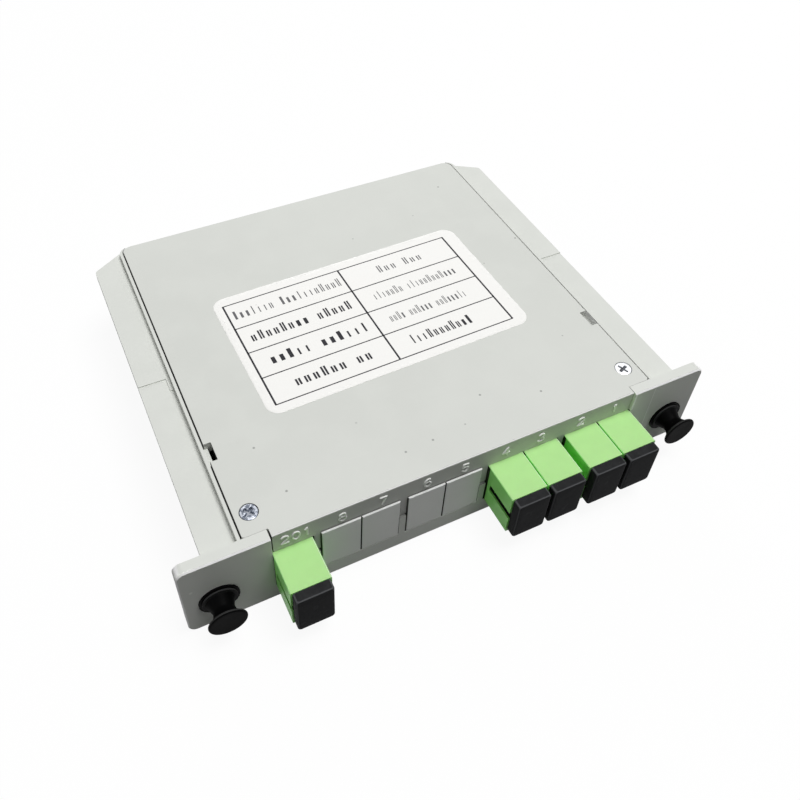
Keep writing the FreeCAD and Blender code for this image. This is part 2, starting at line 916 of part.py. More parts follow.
def tube_end(side):
    """The soft filling at one end of the splitter tube."""
    end = side * module_length / 2
    x0, x1 = sorted((end, end - side * module_end_fill))
    gap = module_wall + cradle_gap
    y0 = module_y - module_width / 2 + gap
    y1 = module_y + module_width / 2 - gap
    fill = block(x0, x1, y0, y1, floor_thick + gap, floor_thick + module_height - gap)
    return fill.makeChamfer(module_bevel - module_wall / 2, edges_along(fill, module_end_fill))


def splitter_chip():
    """The glass chip with a thicker fibre block at each end."""
    z0 = floor_thick + module_wall
    half = chip_length / 2
    y0 = module_y - chip_width / 2
    chip = block(-half, half, y0, y0 + chip_width, z0, z0 + chip_height)
    blocks = []
    for side in (-1, 1):
        x0, x1 = sorted((side * half, side * (half + chip_block)))
        blocks.append(block(x0, x1, y0, y0 + chip_width, z0, z0 + chip_height + chip_block_rise))
    return joined(chip, *blocks)


def rounded_route(points, radii):
    """A path of straight runs joined by tangent arcs, one radius for each inner point."""
    edges = []
    start = points[0]
    for before, corner, after, radius in zip(points, points[1:], points[2:], radii):
        into = (corner - before).normalize()
        out = (after - corner).normalize()
        half_turn = into.getAngle(out) / 2
        back_off = radius * math.tan(half_turn)
        arc_start = corner - into * back_off
        arc_end = corner + out * back_off
        inward = (out - into).normalize()
        middle = corner + inward * (radius / math.cos(half_turn) - radius)
        edges.append(Part.LineSegment(start, arc_start).toShape())
        edges.append(Part.Arc(arc_start, middle, arc_end).toShape())
        start = arc_end
    edges.append(Part.LineSegment(start, points[-1]).toShape())
    return Part.Wire(edges)


def fibre_along(points, radii, name):
    """A six-sided fibre with a round one's section area, swept along a route."""
    path = rounded_route(points, radii)
    heading = (points[1] - points[0]).normalize()
    section = math.pi * fibre_r ** 2
    corner_r = math.sqrt(2 * section / (fibre_sides * math.sin(2 * math.pi / fibre_sides)))
    ring = regular(fibre_sides, corner_r, points[0], heading)
    fibre = path.makePipeShell([ring], True, False)
    print(name, "length", round(path.Length, 1), "volume over section", round(fibre.Volume / section, 1),
          "radii", [round(r, 1) for r in radii])
    return fibre


def output_pigtail(lane, port):
    """The fibre from the splitter's right end, round the tray and down to an output connector."""
    right, front, left, back, inner = lane_edges(lane)
    low = module_z
    high = module_z + course_rise
    x = port_x(port)
    bend = lane_bend_r(lane)
    points = [
        V(module_length / 2, back, low),
        V(right, back, low),
        V(right, front, low),
        V(left, front, low),
        V(left, rise_start, low),
        V(left, rise_end, high),
        V(left, inner, high),
        V(x, inner, high),
        V(x, rise_end, high),
        V(x, climb_end, adapter_centre_z),
        V(x, boot_end, adapter_centre_z),
    ]
    radii = [bend, bend, bend, short_ramp_bend, short_ramp_bend, bend, turn_bend, ramp_bend, ramp_bend]
    return fibre_along(points, radii, port_name(port))


def input_pigtail():
    """The fibre from the input connector, once round the tray above the others, to the splitter."""
    left = input_x
    far_left = -inner_half + input_side_gap
    right = inner_half - course_side_gap
    back = module_y
    high = adapter_centre_z + course_over
    points = [
        V(left, boot_end, adapter_centre_z),
        V(left, climb_end, adapter_centre_z),
        V(left, rise_end, high),
        V(left, back, high),
        V(right, back, high),
        V(right, input_front, high),
        V(far_left, input_front, high),
        V(far_left, drop_start, high),
        V(far_left, drop_end, module_z),
        V(far_left, back, module_z),
        V(-module_length / 2, back, module_z),
    ]
    turns = [turn_bend, turn_bend, turn_bend, lane_bend]
    radii = [ramp_bend, ramp_bend] + turns + [short_ramp_bend, short_ramp_bend, lane_bend]
    return fibre_along(points, radii, port_name(0))


def latch_grommet(x):
    """A flanged sleeve whose split barrel goes through the ear into the chassis."""
    tip = latch_barrel_end + latch_nose
    flange = latch_ring(x, latch_flange_r, latch_flange_r, -latch_flange_thick, 0)
    barrel = latch_ring(x, latch_barrel_r, latch_barrel_r, 0, latch_barrel_end)
    nose = latch_ring(x, latch_barrel_r, latch_nose_r, latch_barrel_end, tip)
    body = joined(flange, barrel, nose)
    half = latch_slot / 2
    wide = latch_barrel_r + 1
    slots = [
        block(x - half, x + half, latch_slot_front, tip + 1, latch_z - wide, latch_z + wide),
        block(x - wide, x + wide, latch_slot_front, tip + 1, latch_z - half, latch_z + half),
    ]
    for slot in slots:
        slot.rotate(V(x, 0, latch_z), V(0, 1, 0), latch_slot_turn)
    bore = latch_ring(x, latch_bore_r, latch_bore_r, -latch_flange_thick - 1, tip + 1)
    return body.cut(slots + [bore])


def latch_plunger(x):
    """A waisted knob with a pin that spreads the grommet when it is pushed in."""
    foot = -latch_flange_thick - knob_seat_gap
    face = foot - knob_length
    under = face + knob_head_thick
    waist = (foot + under) / 2
    pin_r = latch_bore_r - latch_fit
    pin_end = latch_barrel_end + latch_nose
    return joined(
        latch_ring(x, knob_head_r, knob_head_r, face, under),
        latch_ring(x, knob_head_r, knob_neck_r, under, waist),
        latch_ring(x, knob_neck_r, knob_foot_r, waist, foot),
        latch_ring(x, pin_r, pin_r, foot, pin_end),
    )


def save(name, shape):
    """Move a piece into the row frame and write it."""
    moved = shape.copy()
    moved.translate(V(0, row_shift, 0))
    for solid in moved.Solids:
        if not solid.isValid():
            raise ValueError(f"{name} is not a valid solid")
    moved.exportStep(f"parts/{name}.step")


def main():
    os.makedirs("parts", exist_ok=True)
    save("base_tray", base_tray())
    save("top_cover", top_cover())
    save("label", label())
    save("cover_screws", cover_screws())
    for side, x in latch_places().items():
        save(f"latch_grommet_{side}", latch_grommet(x))
        save(f"latch_plunger_{side}", latch_plunger(x))
    for port in blank_ports():
        save(f"blank_{port_name(port)}", port_blank(port_x(port)))
    for port in [0] + output_ports():
        x = port_x(port)
        name = port_name(port)
        save(f"adapter_housing_{name}", adapter_housing(x))
        save(f"adapter_hooks_{name}", adapter_hooks(x))
        save(f"alignment_sleeve_{name}", alignment_sleeve(x))
        save(f"dust_cap_{name}", dust_cap(x))
        save(f"plug_body_{name}", plug_body(x))
        save(f"ferrule_{name}", ferrule(x))
        save(f"boot_{name}", boot(x))
    for lane, port in enumerate(output_ports()):
        save(f"pigtail_{port_name(port)}", output_pigtail(lane, port))
    save("pigtail_input", input_pigtail())
    save("splitter_tube", splitter_tube())
    save("tube_end_left", tube_end(-1))
    save("tube_end_right", tube_end(1))
    save("splitter_chip", splitter_chip())


main()
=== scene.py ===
"""Looks of a plug-in fibre splitter cassette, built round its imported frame."""

import math

import bmesh
import bpy
import numpy as np
from bpy.props import FloatProperty, FloatVectorProperty, IntProperty, PointerProperty
from mathutils import Matrix, Vector


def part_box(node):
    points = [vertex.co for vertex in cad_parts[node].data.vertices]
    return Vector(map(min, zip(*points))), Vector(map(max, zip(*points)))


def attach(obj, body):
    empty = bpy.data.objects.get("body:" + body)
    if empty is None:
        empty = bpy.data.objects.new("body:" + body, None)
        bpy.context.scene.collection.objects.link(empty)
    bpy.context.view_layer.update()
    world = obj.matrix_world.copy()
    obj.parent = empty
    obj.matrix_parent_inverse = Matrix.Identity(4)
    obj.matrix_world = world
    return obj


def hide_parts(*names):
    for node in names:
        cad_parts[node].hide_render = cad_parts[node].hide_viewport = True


bl_info = {
    "name": "Fibre Splitter Cassette",
    "version": (1, 0, 0),
    "blender": (4, 5, 0),
    "location": "View3D > Sidebar > Cassette",
    "description": "Finishes, print, numerals and latches of a plug-in fibre splitter cassette",
    "category": "Add Mesh",
}

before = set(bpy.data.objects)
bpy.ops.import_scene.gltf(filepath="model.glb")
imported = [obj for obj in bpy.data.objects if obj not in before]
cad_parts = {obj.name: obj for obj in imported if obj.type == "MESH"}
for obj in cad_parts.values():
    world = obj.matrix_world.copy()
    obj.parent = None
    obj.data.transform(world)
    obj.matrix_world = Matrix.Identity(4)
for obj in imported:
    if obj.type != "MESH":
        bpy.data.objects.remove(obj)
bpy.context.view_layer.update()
MM = 0.001
PORTS = ("input", "port_1", "port_2", "port_3", "port_4")
BLANKS = ("port_5", "port_6", "port_7", "port_8")
SIDES = ("left", "right")
# Specks on the cover: X and Y in mm
SPECKS = (
    (25.2, -33.9), (-4.3, -35.8), (-11.2, -36.2), (11.7, -29.0), (-40.7, -21.5),
    (-38.3, -34.7), (41.5, 45.5), (49.7, 15.9),
)
# Numerals of the ports and of the input: X in mm, and the height of their centres
PORT_NUMERALS = {
    "8": -29.5, "7": -20.1, "6": -9.5, "5": -0.2, "4": 10.3, "3": 19.5, "2": 30.4, "1": 39.8,
}
INPUT_NUMERALS = (("2", -42.3), ("0", -39.85), ("1", -37.5))
NUMERAL_CENTRE = 20.45
# Top of the case, and where a mask of its walls fades out below it, in mm
CASE_TOP = 23.4
UNDER_TOP = (23.2, 23.28)


# ---------------------------------------------------------------- shader maths

class Wire:
    """A node's output that takes part in sums and products; each one adds a Math node."""

    def __init__(self, finish, socket):
        self.finish = finish
        self.socket = socket

    def apply(self, operation, *others):
        return self.finish.math(operation, self, *others)

    def __add__(self, other):
        return self.apply("ADD", other)

    def __radd__(self, other):
        return self.apply("ADD", other)

    def __sub__(self, other):
        return self.apply("SUBTRACT", other)

    def __rsub__(self, other):
        return self.finish.math("SUBTRACT", other, self)

    def __mul__(self, other):
        return self.apply("MULTIPLY", other)

    def __rmul__(self, other):
        return self.apply("MULTIPLY", other)

    def __truediv__(self, other):
        return self.apply("DIVIDE", other)

    def __abs__(self):
        return self.apply("ABSOLUTE")

    def larger(self, other):
        return self.apply("MAXIMUM", other)

    def smaller(self, other):
        return self.apply("MINIMUM", other)

    def above(self, low, high):
        """0 below low, 1 above high, smooth between."""
        return self.finish.value("ShaderNodeMapRange", {"interpolation_type": "SMOOTHSTEP"},
                                 {"Value": self, "From Min": low, "From Max": high})

    def below(self, low, high):
        """1 below low, 0 above high, smooth between."""
        return 1 - self.above(low, high)

    def within(self, low, high, soft=0.05):
        """1 from low to high, 0 outside, smooth over the soft width, in mm."""
        return self.above(low - soft, low) * self.below(high, high + soft)


class Finish:
    """A material whose nodes are added by type, settings and inputs."""

    def __init__(self, name, **constants):
        self.material = bpy.data.materials.new(name)
        self.material.use_nodes = True
        self.tree = self.material.node_tree
        self.tree.nodes.clear()
        self.output = self.node("ShaderNodeOutputMaterial")
        self.shader = self.node("ShaderNodeBsdfPrincipled")
        self.tree.links.new(self.shader.outputs[0], self.output.inputs["Surface"])
        for key, amount in constants.items():
            socket = key.replace("_", " ").title().replace("Ior", "IOR")
            self.shader.inputs[socket].default_value = amount
        self.place = self.value("ShaderNodeTexCoord", out="Object")

    def node(self, kind, settings=None, inputs=None):
        made = self.tree.nodes.new(kind)
        for key, setting in (settings or {}).items():
            setattr(made, key, setting)
        for key, value in (inputs or {}).items():
            self.join(made.inputs[key], value)
        return made

    def join(self, socket, value):
        if isinstance(value, Wire):
            self.tree.links.new(value.socket, socket)
        else:
            socket.default_value = value

    def value(self, kind, settings=None, inputs=None, out=0):
        return Wire(self, self.node(kind, settings, inputs).outputs[out])

    def math(self, operation, *values):
        return self.value("ShaderNodeMath", {"operation": operation}, dict(enumerate(values)))

    def blend(self, factor, low, high):
        """A colour between two others."""
        made = self.node("ShaderNodeMix", {"data_type": "RGBA"})
        self.join(made.inputs[0], factor)
        self.join(made.inputs[6], low if isinstance(low, Wire) else (*low, 1))
        self.join(made.inputs[7], high if isinstance(high, Wire) else (*high, 1))
        return Wire(self, made.outputs[2])

    def noise(self, size, detail=2.0):
        """Smooth noise between 0 and 1 with features of about one size."""
        inputs = {"Vector": self.place, "Scale": 1 / size, "Detail": detail}
        return self.value("ShaderNodeTexNoise", None, inputs)

    def dots(self, spacing, radius, share):
        """Small round dots in a share of the cells of a random lattice."""
        inputs = {"Vector": self.place, "Scale": 1 / spacing}
        cell = self.node("ShaderNodeTexVoronoi", None, inputs)
        random = Wire(self, cell.outputs["Color"])
        pick = self.value("ShaderNodeSeparateColor", None, {"Color": random})
        reach = radius / spacing
        near = Wire(self, cell.outputs["Distance"]).below(reach * 0.5, reach)
        return near * pick.below(share, share + 0.01)

    def spots(self, places, radius):
        """Round spots at given places."""
        mask = 0.0
        for place in places:
            ends = {0: self.place, 1: place}
            away = self.value("ShaderNodeVectorMath", {"operation": "DISTANCE"}, ends, "Value")
            mask = away.below(radius * 0.5, radius) + mask
        return mask

    def hairlines(self, angle, length, width, share):
        """Thin streaks along one direction of the XY plane."""
        scale = (1 / length, 1 / width, 1 / length)
        inputs = {"Vector": self.place, "Scale": scale, "Rotation": (0, 0, angle)}
        place = self.value("ShaderNodeMapping", None, inputs)
        inputs = {"Vector": place, "Scale": 1.0, "Detail": 1.0}
        streak = self.value("ShaderNodeTexNoise", None, inputs)
        return streak.above(share, share + 0.03)

    def bevels(self):
        """1 on slanting faces such as bevels and rounded edges, 0 on faces square to the axes."""
        normal = self.value("ShaderNodeNewGeometry", out="True Normal")
        parts = self.node("ShaderNodeSeparateXYZ", None, {"Vector": normal})
        x, y, z = (abs(Wire(self, parts.outputs[i])) for i in range(3))
        return (x.larger(y).larger(z)).below(0.8, 0.97)

    def axes(self):
        """X, Y and Z of the place as three values, in mm."""
        parts = self.node("ShaderNodeSeparateXYZ", None, {"Vector": self.place})
        return [Wire(self, parts.outputs[i]) / MM for i in range(3)]

    def relief(self, *layers):
        """Bumps, each a height between 0 and 1 and its depth in metres."""
        normal = None
        for height, depth in layers:
            inputs = {"Height": height, "Distance": depth, "Strength": 1.0}
            if normal:
                inputs["Normal"] = normal
            normal = self.value("ShaderNodeBump", None, inputs)
        self.join(self.shader.inputs["Normal"], normal)

    def colour(self, value):
        self.join(self.shader.inputs["Base Color"], value)

    def roughness(self, value):
        self.join(self.shader.inputs["Roughness"], value)

    def put_on(self, *nodes):
        """Gives CAD nodes this finish."""
        for name in nodes:
            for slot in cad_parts[name].material_slots:
                slot.material = self.material


def tinted(colour, amount):
    """A colour made lighter or darker."""
    return tuple(min(1.0, channel * amount) for channel in colour[:3])


# ---------------------------------------------------------------- surfaces

def surface(name, grids, finish, body, angle=40):
    """One mesh from grids of points, each closed round its columns: a quad joins each point to the
    next in its row and its column."""
    points, faces, start = [], [], 0
    for grid in grids:
        rows, columns = grid.shape[:2]
        index = start + np.arange(rows * columns).reshape(rows, columns)
        index = np.hstack([index, index[:, :1]])
        quads = np.stack([index[:-1, :-1], index[1:, :-1], index[1:, 1:], index[:-1, 1:]], axis=-1)
        points.append(grid.reshape(-1, 3))
        faces.append(quads.reshape(-1, 4))
        start += rows * columns
    return mesh_piece(name, np.vstack(points), np.vstack(faces), finish, body, angle)


def mesh_piece(name, points, faces, finish, body, angle=40):
    """An object from points and faces: doubles merged, normals outwards, riding on its body."""
    mesh = bpy.data.meshes.new(name)
    mesh.from_pydata(points.tolist(), [], faces.tolist())
    piece = bpy.data.objects.new(name, mesh)
    bpy.context.scene.collection.objects.link(piece)
    work = bmesh.new()
    work.from_mesh(mesh)
    bmesh.ops.remove_doubles(work, verts=work.verts, dist=1e-8)
    bmesh.ops.dissolve_degenerate(work, edges=work.edges, dist=1e-9)
    bmesh.ops.recalc_face_normals(work, faces=work.faces)
    work.to_mesh(mesh)
    work.free()
    mesh.materials.append(finish.material)
    mesh.polygons.foreach_set("use_smooth", np.ones(len(mesh.polygons), dtype=bool))
    mesh.set_sharp_from_angle(angle=math.radians(angle))
    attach(piece, body)
    return piece


def turned(profile, centre, segments):
    """Points of a profile (radius, y) turned round a line along Y: the radius times the cosine and
    sine of the angle."""
    turn = np.linspace(0, 2 * np.pi, segments, endpoint=False)
    radius = profile[:, 0][:, None]
    x = centre[0] + radius * np.cos(turn)
    z = centre[2] + radius * np.sin(turn)
    y = np.broadcast_to(centre[1] + profile[:, 1][:, None], x.shape)
    return np.stack([x, y, z], axis=-1)


def smooth_line(points, per_span):
    """A curve through points: each span is the cubic that takes its end slopes from the
    neighbours."""
    points = np.asarray(points, dtype=float)
    ends = np.vstack([2 * points[0] - points[1], points, 2 * points[-1] - points[-2]])
    t = np.linspace(0, 1, per_span, endpoint=False)[None, :, None]
    a, b, c, d = (ends[i:len(ends) - 3 + i][:, None, :] for i in range(4))
    square, cube = 2 * a - 5 * b + 4 * c - d, 3 * b - a - 3 * c + d
    spans = 0.5 * (2 * b + (c - a) * t + square * t ** 2 + cube * t ** 3)
    return np.vstack([spans.reshape(-1, points.shape[1]), points[-1:]])


def rounded_outlines(halves, corners, arc_steps=9, side_steps=8):
    """Points round rectangles, one row each: a corner's centre plus its radius times the directions
    of a quarter turn, then even steps along the side to the next corner."""
    halves = np.asarray(halves, dtype=float)[:, None, :]
    corners = np.asarray(corners, dtype=float)[:, None, None]
    arcs = []
    for quarter, sign in enumerate([(1, 1), (-1, 1), (-1, -1), (1, -1)]):
        turn = np.linspace(0, np.pi / 2, arc_steps) + quarter * np.pi / 2
        unit = np.stack([np.cos(turn), np.sin(turn)], axis=-1)[None]
        arcs.append((halves - corners) * sign + corners * unit)
    share = np.linspace(0, 1, side_steps + 2)[None, 1:-1, None]
    runs = []
    for quarter, arc_points in enumerate(arcs):
        start, end = arc_points[:, -1:], arcs[(quarter + 1) % 4][:, :1]
        runs += [arc_points, start + (end - start) * share]
    return np.concatenate(runs, axis=1)


def boxes(rects, z0, z1):
    """Points and faces of flat boxes on rectangles (centre x, centre y, width, depth)."""
    rects = np.asarray(rects, dtype=float)
    signs = np.array([(-1, -1), (1, -1), (1, 1), (-1, 1)]) / 2
    flat = rects[:, None, :2] + signs[None] * rects[:, None, 2:]
    low = np.concatenate([flat, np.full(flat.shape[:2] + (1,), z0)], axis=-1)
    high = np.concatenate([flat, np.full(flat.shape[:2] + (1,), z1)], axis=-1)
    points = np.concatenate([low, high], axis=1)
    sides = np.array([
        (0, 3, 2, 1), (4, 5, 6, 7), (0, 1, 5, 4), (1, 2, 6, 5), (2, 3, 7, 6), (3, 0, 4, 7)])
    faces = (np.arange(len(rects)) * 8)[:, None, None] + sides[None]
    return points.reshape(-1, 3), faces.reshape(-1, 4)


# ---------------------------------------------------------------- numerals

def line(*corners):
    """Points along straight strokes between corners."""
    corners = np.asarray(corners, dtype=float)
    steps = np.linspace(0, 1, 9)[None, :, None]
    runs = corners[:-1, None, :] + (corners[1:, None, :] - corners[:-1, None, :]) * steps
    return runs.reshape(-1, 2)


def arc(x, y, rx, ry, start, end):
    """Points along part of an ellipse, in degrees from its right side."""
    turn = np.radians(np.linspace(start, end, 33))
    return np.stack([x + rx * np.cos(turn), y + ry * np.sin(turn)], axis=-1)


def numeral_strokes():
    """Strokes of the plain numerals in a box 1 wide and 1 high, centred on 0."""
    return {
        "0": [arc(0, 0, 0.5, 0.5, 0, 360)],
        "1": [line((-0.18, 0.3), (0.08, 0.5), (0.08, -0.5))],
        "2": [np.vstack([arc(0, 0.22, 0.46, 0.28, 165, -35),
                         line((0.37, 0.04), (-0.48, -0.5), (0.5, -0.5))])],
        "3": [np.vstack([arc(-0.02, 0.25, 0.42, 0.25, 150, -70),
                         arc(-0.02, -0.24, 0.48, 0.27, 75, -150)])],
        "4": [line((0.2, -0.5), (0.2, 0.5), (-0.5, -0.2), (0.5, -0.2))],
        "5": [np.vstack([line((0.42, 0.5), (-0.36, 0.5), (-0.42, 0.06)),
                         arc(0, -0.18, 0.47, 0.32, 138, -150)])],
        "6": [np.vstack([arc(0.1, 0.1, 0.56, 0.4, 70, 180), arc(0, -0.2, 0.46, 0.3, 180, 540)])],
        "7": [line((-0.45, 0.5), (0.45, 0.5), (-0.12, -0.5))],
        "8": [arc(0, 0.26, 0.4, 0.24, 0, 360), arc(0, -0.24, 0.48, 0.27, 0, 360)],
    }


def raised_stroke(path, width, relief, face_y):
    """A tube on the face: at each point of the path an oval, its width across the path and its
    relief outwards, both the power 0.6 of a circle's sine and cosine, which shrinks as a quarter
    circle past the ends of an open path."""
    path = path[np.r_[True, np.linalg.norm(np.diff(path, axis=0), axis=1) > 1e-9]]
    slope = np.gradient(path, axis=0)
    swell = np.ones(len(path))
    closed = np.linalg.norm(path[0] - path[-1]) < 1e-9
    if closed:
        slope[0] = slope[-1] = path[1] - path[-2]
    slope /= np.linalg.norm(slope, axis=1)[:, None]
    if not closed:
        ease = np.linspace(0, np.pi / 2, 5)[:-1]
        past = np.cos(ease)[:, None] * width / 2
        path = np.vstack([path[0] - slope[0] * past, path, path[-1] + slope[-1] * past[::-1]])
        slope = np.vstack([np.repeat(slope[:1], 4, 0), slope, np.repeat(slope[-1:], 4, 0)])
        swell = np.r_[np.sin(ease), swell, np.sin(ease)[::-1]]
    turn = np.linspace(0, 2 * np.pi, 16, endpoint=False)
    flat = np.stack([np.cos(turn), np.sin(turn)])
    flat = np.sign(flat) * np.abs(flat) ** 0.6
    across = swell[:, None] * flat[0] * width / 2
    out = swell[:, None] * flat[1] * relief
    x = path[:, 0][:, None] + slope[:, 1][:, None] * across
    z = path[:, 1][:, None] - slope[:, 0][:, None] * across
    return np.stack([x, face_y - out, z], axis=-1)


# ---------------------------------------------------------------- settings

class CassetteLooks(bpy.types.PropertyGroup):
    """Colours and sizes of the cassette's finishes."""

    case_colour: FloatVectorProperty(
        name="Case", description="Grey of the moulded tray and cover", subtype="COLOR",
        size=3, min=0, max=1, default=(0.680, 0.695, 0.659))
    blank_colour: FloatVectorProperty(
        name="Blank plates", description="Grey of the plates that close unused ports",
        subtype="COLOR", size=3, min=0, max=1, default=(0.80, 0.81, 0.79))
    adapter_colour: FloatVectorProperty(
        name="Adapters", description="Green of the adapter housings", subtype="COLOR",
        size=3, min=0, max=1, default=(0.48, 0.82, 0.325))
    black_colour: FloatVectorProperty(
        name="Caps and latches", description="Black of the soft caps and the latches",
        subtype="COLOR", size=3, min=0, max=1, default=(0.021, 0.0215, 0.0225))
    paper_colour: FloatVectorProperty(
        name="Label", description="White of the label's paper", subtype="COLOR",
        size=3, min=0, max=1, default=(0.94, 0.935, 0.91))
    ink_colour: FloatVectorProperty(
        name="Ink", description="Dark grey of the printed rules and marks", subtype="COLOR",
        size=3, min=0, max=1, default=(0.03, 0.03, 0.035))
    grey_colour: FloatVectorProperty(
        name="Print grey", description="Grey of the fainter marks in place of words",
        subtype="COLOR", size=3, min=0, max=1, default=(0.14, 0.14, 0.145))
    numeral_height: FloatProperty(
        name="Numeral height", description="Height of the raised port numerals", subtype="DISTANCE",
        unit="LENGTH", min=0.001, max=0.005, default=0.0025)
    numeral_width: FloatProperty(
        name="Numeral width", description="Width of the raised port numerals", subtype="DISTANCE",
        unit="LENGTH", min=0.0005, max=0.003, default=0.0016)
    numeral_stroke: FloatProperty(
        name="Numeral stroke", description="Width of a numeral's stroke", subtype="DISTANCE",
        unit="LENGTH", min=0.0001, max=0.001, default=0.00042)
    numeral_relief: FloatProperty(
        name="Numeral relief", description="How far the numerals stand out", subtype="DISTANCE",
        unit="LENGTH", min=0.00005, max=0.0005, default=0.00026)
    cap_rounding: FloatProperty(
        name="Cap edge", description="Radius of the dust caps' front edges", subtype="DISTANCE",
        unit="LENGTH", min=0.0001, max=0.001, default=0.0005)
    turn_segments: IntProperty(
        name="Turned segments", description="Segments round a turned piece",
        min=24, max=256, default=96)
    lamp_power: FloatProperty(
        name="Lamp", description="Power of the large soft lamp", subtype="POWER", unit="POWER",
        min=0, max=100, default=22.4)
    sky_strength: FloatProperty(
        name="Sky", description="Strength of the even light from all sides", subtype="FACTOR",
        min=0, max=1, default=0.10)
    fill_power: FloatProperty(
        name="Left fill", description="Power of the weak lamp from the left",
        subtype="POWER", unit="POWER", min=0, max=20, default=1.5)
    back_power: FloatProperty(
        name="Back fill", description="Power of the weak lamp from behind",
        subtype="POWER", unit="POWER", min=0, max=20, default=4.5)


# ---------------------------------------------------------------- finishes

def moulded_finish(name, colour, gloss=0.12, marks=None):
    """Satin moulded plastic: faint mottling, painted highlights on bevels and rounded edges, a fine
    grain, hairline scratches and a few dark specks; marks gives masks of places that are lighter
    or darker."""
    finish = Finish(name, specular_ior_level=gloss)
    mottle = finish.noise(9 * MM, 4.0)
    cloud = finish.noise(40 * MM, 2.0)
    grain = finish.noise(0.22 * MM, 2.0)
    scratch = finish.hairlines(0.5, 30 * MM, 0.12 * MM, 0.70)
    scratch = (scratch + finish.hairlines(-0.9, 18 * MM, 0.10 * MM, 0.72)).smaller(1.0)
    specks = finish.dots(9 * MM, 0.5 * MM, 0.05) + finish.dots(4 * MM, 0.3 * MM, 0.10)
    shade = finish.blend(mottle.above(0.35, 0.7), tinted(colour, 0.985), tinted(colour, 1.015))
    shade = finish.blend(cloud.above(0.3, 0.75) * 0.5, shade, tinted(colour, 1.03))
    # painted highlight: bevels and rounded edges lighter than the flat faces
    shade = finish.blend(finish.bevels() * 0.95, shade, tinted(colour, 1.5))
    shade = finish.blend(scratch * 0.10, shade, tinted(colour, 1.2))
    shade = finish.blend(specks.smaller(1.0) * 0.45, shade, tinted(colour, 0.35))
    for mask, amount in (marks(finish) if marks else []):
        shade = finish.blend(mask, shade, tinted(colour, amount))
    finish.colour(shade)
    finish.roughness(0.42 + cloud * 0.12 - scratch * 0.05 + grain * 0.05)
    finish.relief((grain, 0.004 * MM), (mottle, 0.02 * MM), (scratch, -0.004 * MM))
    return finish


def tray_marks(finish):
    """Chips at the left ear's upper corner, painted shade inside the windows and on the pillars'
    tops, painted highlights on the edges where the strip's bay ends, a small lighter spot on the
    left ear's front, and painted light on a wall in the right seam."""
    x, y, z = finish.axes()
    chips = finish.noise(0.6 * MM, 3.0).above(0.48, 0.6)
    corner = x.below(-64.0, -59.5) * z.above(22.2, 23.1) * y.below(-43.7, -43.2)
    ports = abs(x).below(45.4, 45.5)
    # painted shade: walls inside the windows and the pillars' tops made dark
    inside = ports * y.within(-43.88, -40.0) * z.within(4.1, 17.38)
    pillar_top_shade = ports * y.below(-43.0, -42.7) * z.within(11.57, 11.63)
    # painted highlight on the edges where the strip's bay ends
    bay_end_highlight = abs(x).within(44.9, 45.4) * y.below(-43.85, -43.8) * z.above(17.6, 17.7)
    # a small lighter spot on the left ear's front
    light_spot = finish.spots([(-62.8 * MM, -44.02 * MM, 15.5 * MM)], 0.5 * MM)
    # painted light: the wall in the right seam made pale against the gap's shade
    seam = x.within(50.70, 50.80) * z.below(*UNDER_TOP)
    return [(corner * chips * 0.8, 1.35), (inside, 0.05), (pillar_top_shade, 0.30),
            (bay_end_highlight * 0.9, 1.5), (light_spot * 0.7, 1.3), (seam, 1.45)]


def cover_marks(finish):
    """Painted shade on the front strip and on the side walls in the left seam and notch, painted
    light on the walls in the right seam, and small specks on the plate."""
    x, y, z = finish.axes()
    walls = z.below(*UNDER_TOP)
    # painted shade: the front strip below the top made darker
    strip = y.below(-43.38, -43.3) * walls
    # painted shade: dark walls in the left seam and the notch
    left_seam = x.below(-50.38, -50.34) + x.below(-44.90, -44.86) * y.below(-41.6, -41.5)
    notch = x.within(-48.78, -48.62) * y.within(-21.2, -16.3) * walls
    # painted light: pale walls in the right seam
    right_seam = x.above(50.34, 50.38) * walls
    places = [(east * MM, north * MM, CASE_TOP * MM) for east, north in SPECKS]
    specks = finish.spots(places, 0.36 * MM)
    return [(strip, 0.86), ((left_seam + notch).smaller(1.0), 0.04), (right_seam, 1.45),
            (specks * 0.65, 0.3)]


def blank_marks(finish):
    """Painted shade: dark sides in the gaps, and a dark back edge of the upper ledge."""
    x, y, z = finish.axes()
    # painted shade: dark sides in the gaps and a dark back edge of the upper ledge
    sides = y.above(-43.94, -43.88) * z.below(17.88, 17.94)
    return [(sides, 0.04), (y.above(-43.66, -43.6), 0.08)]


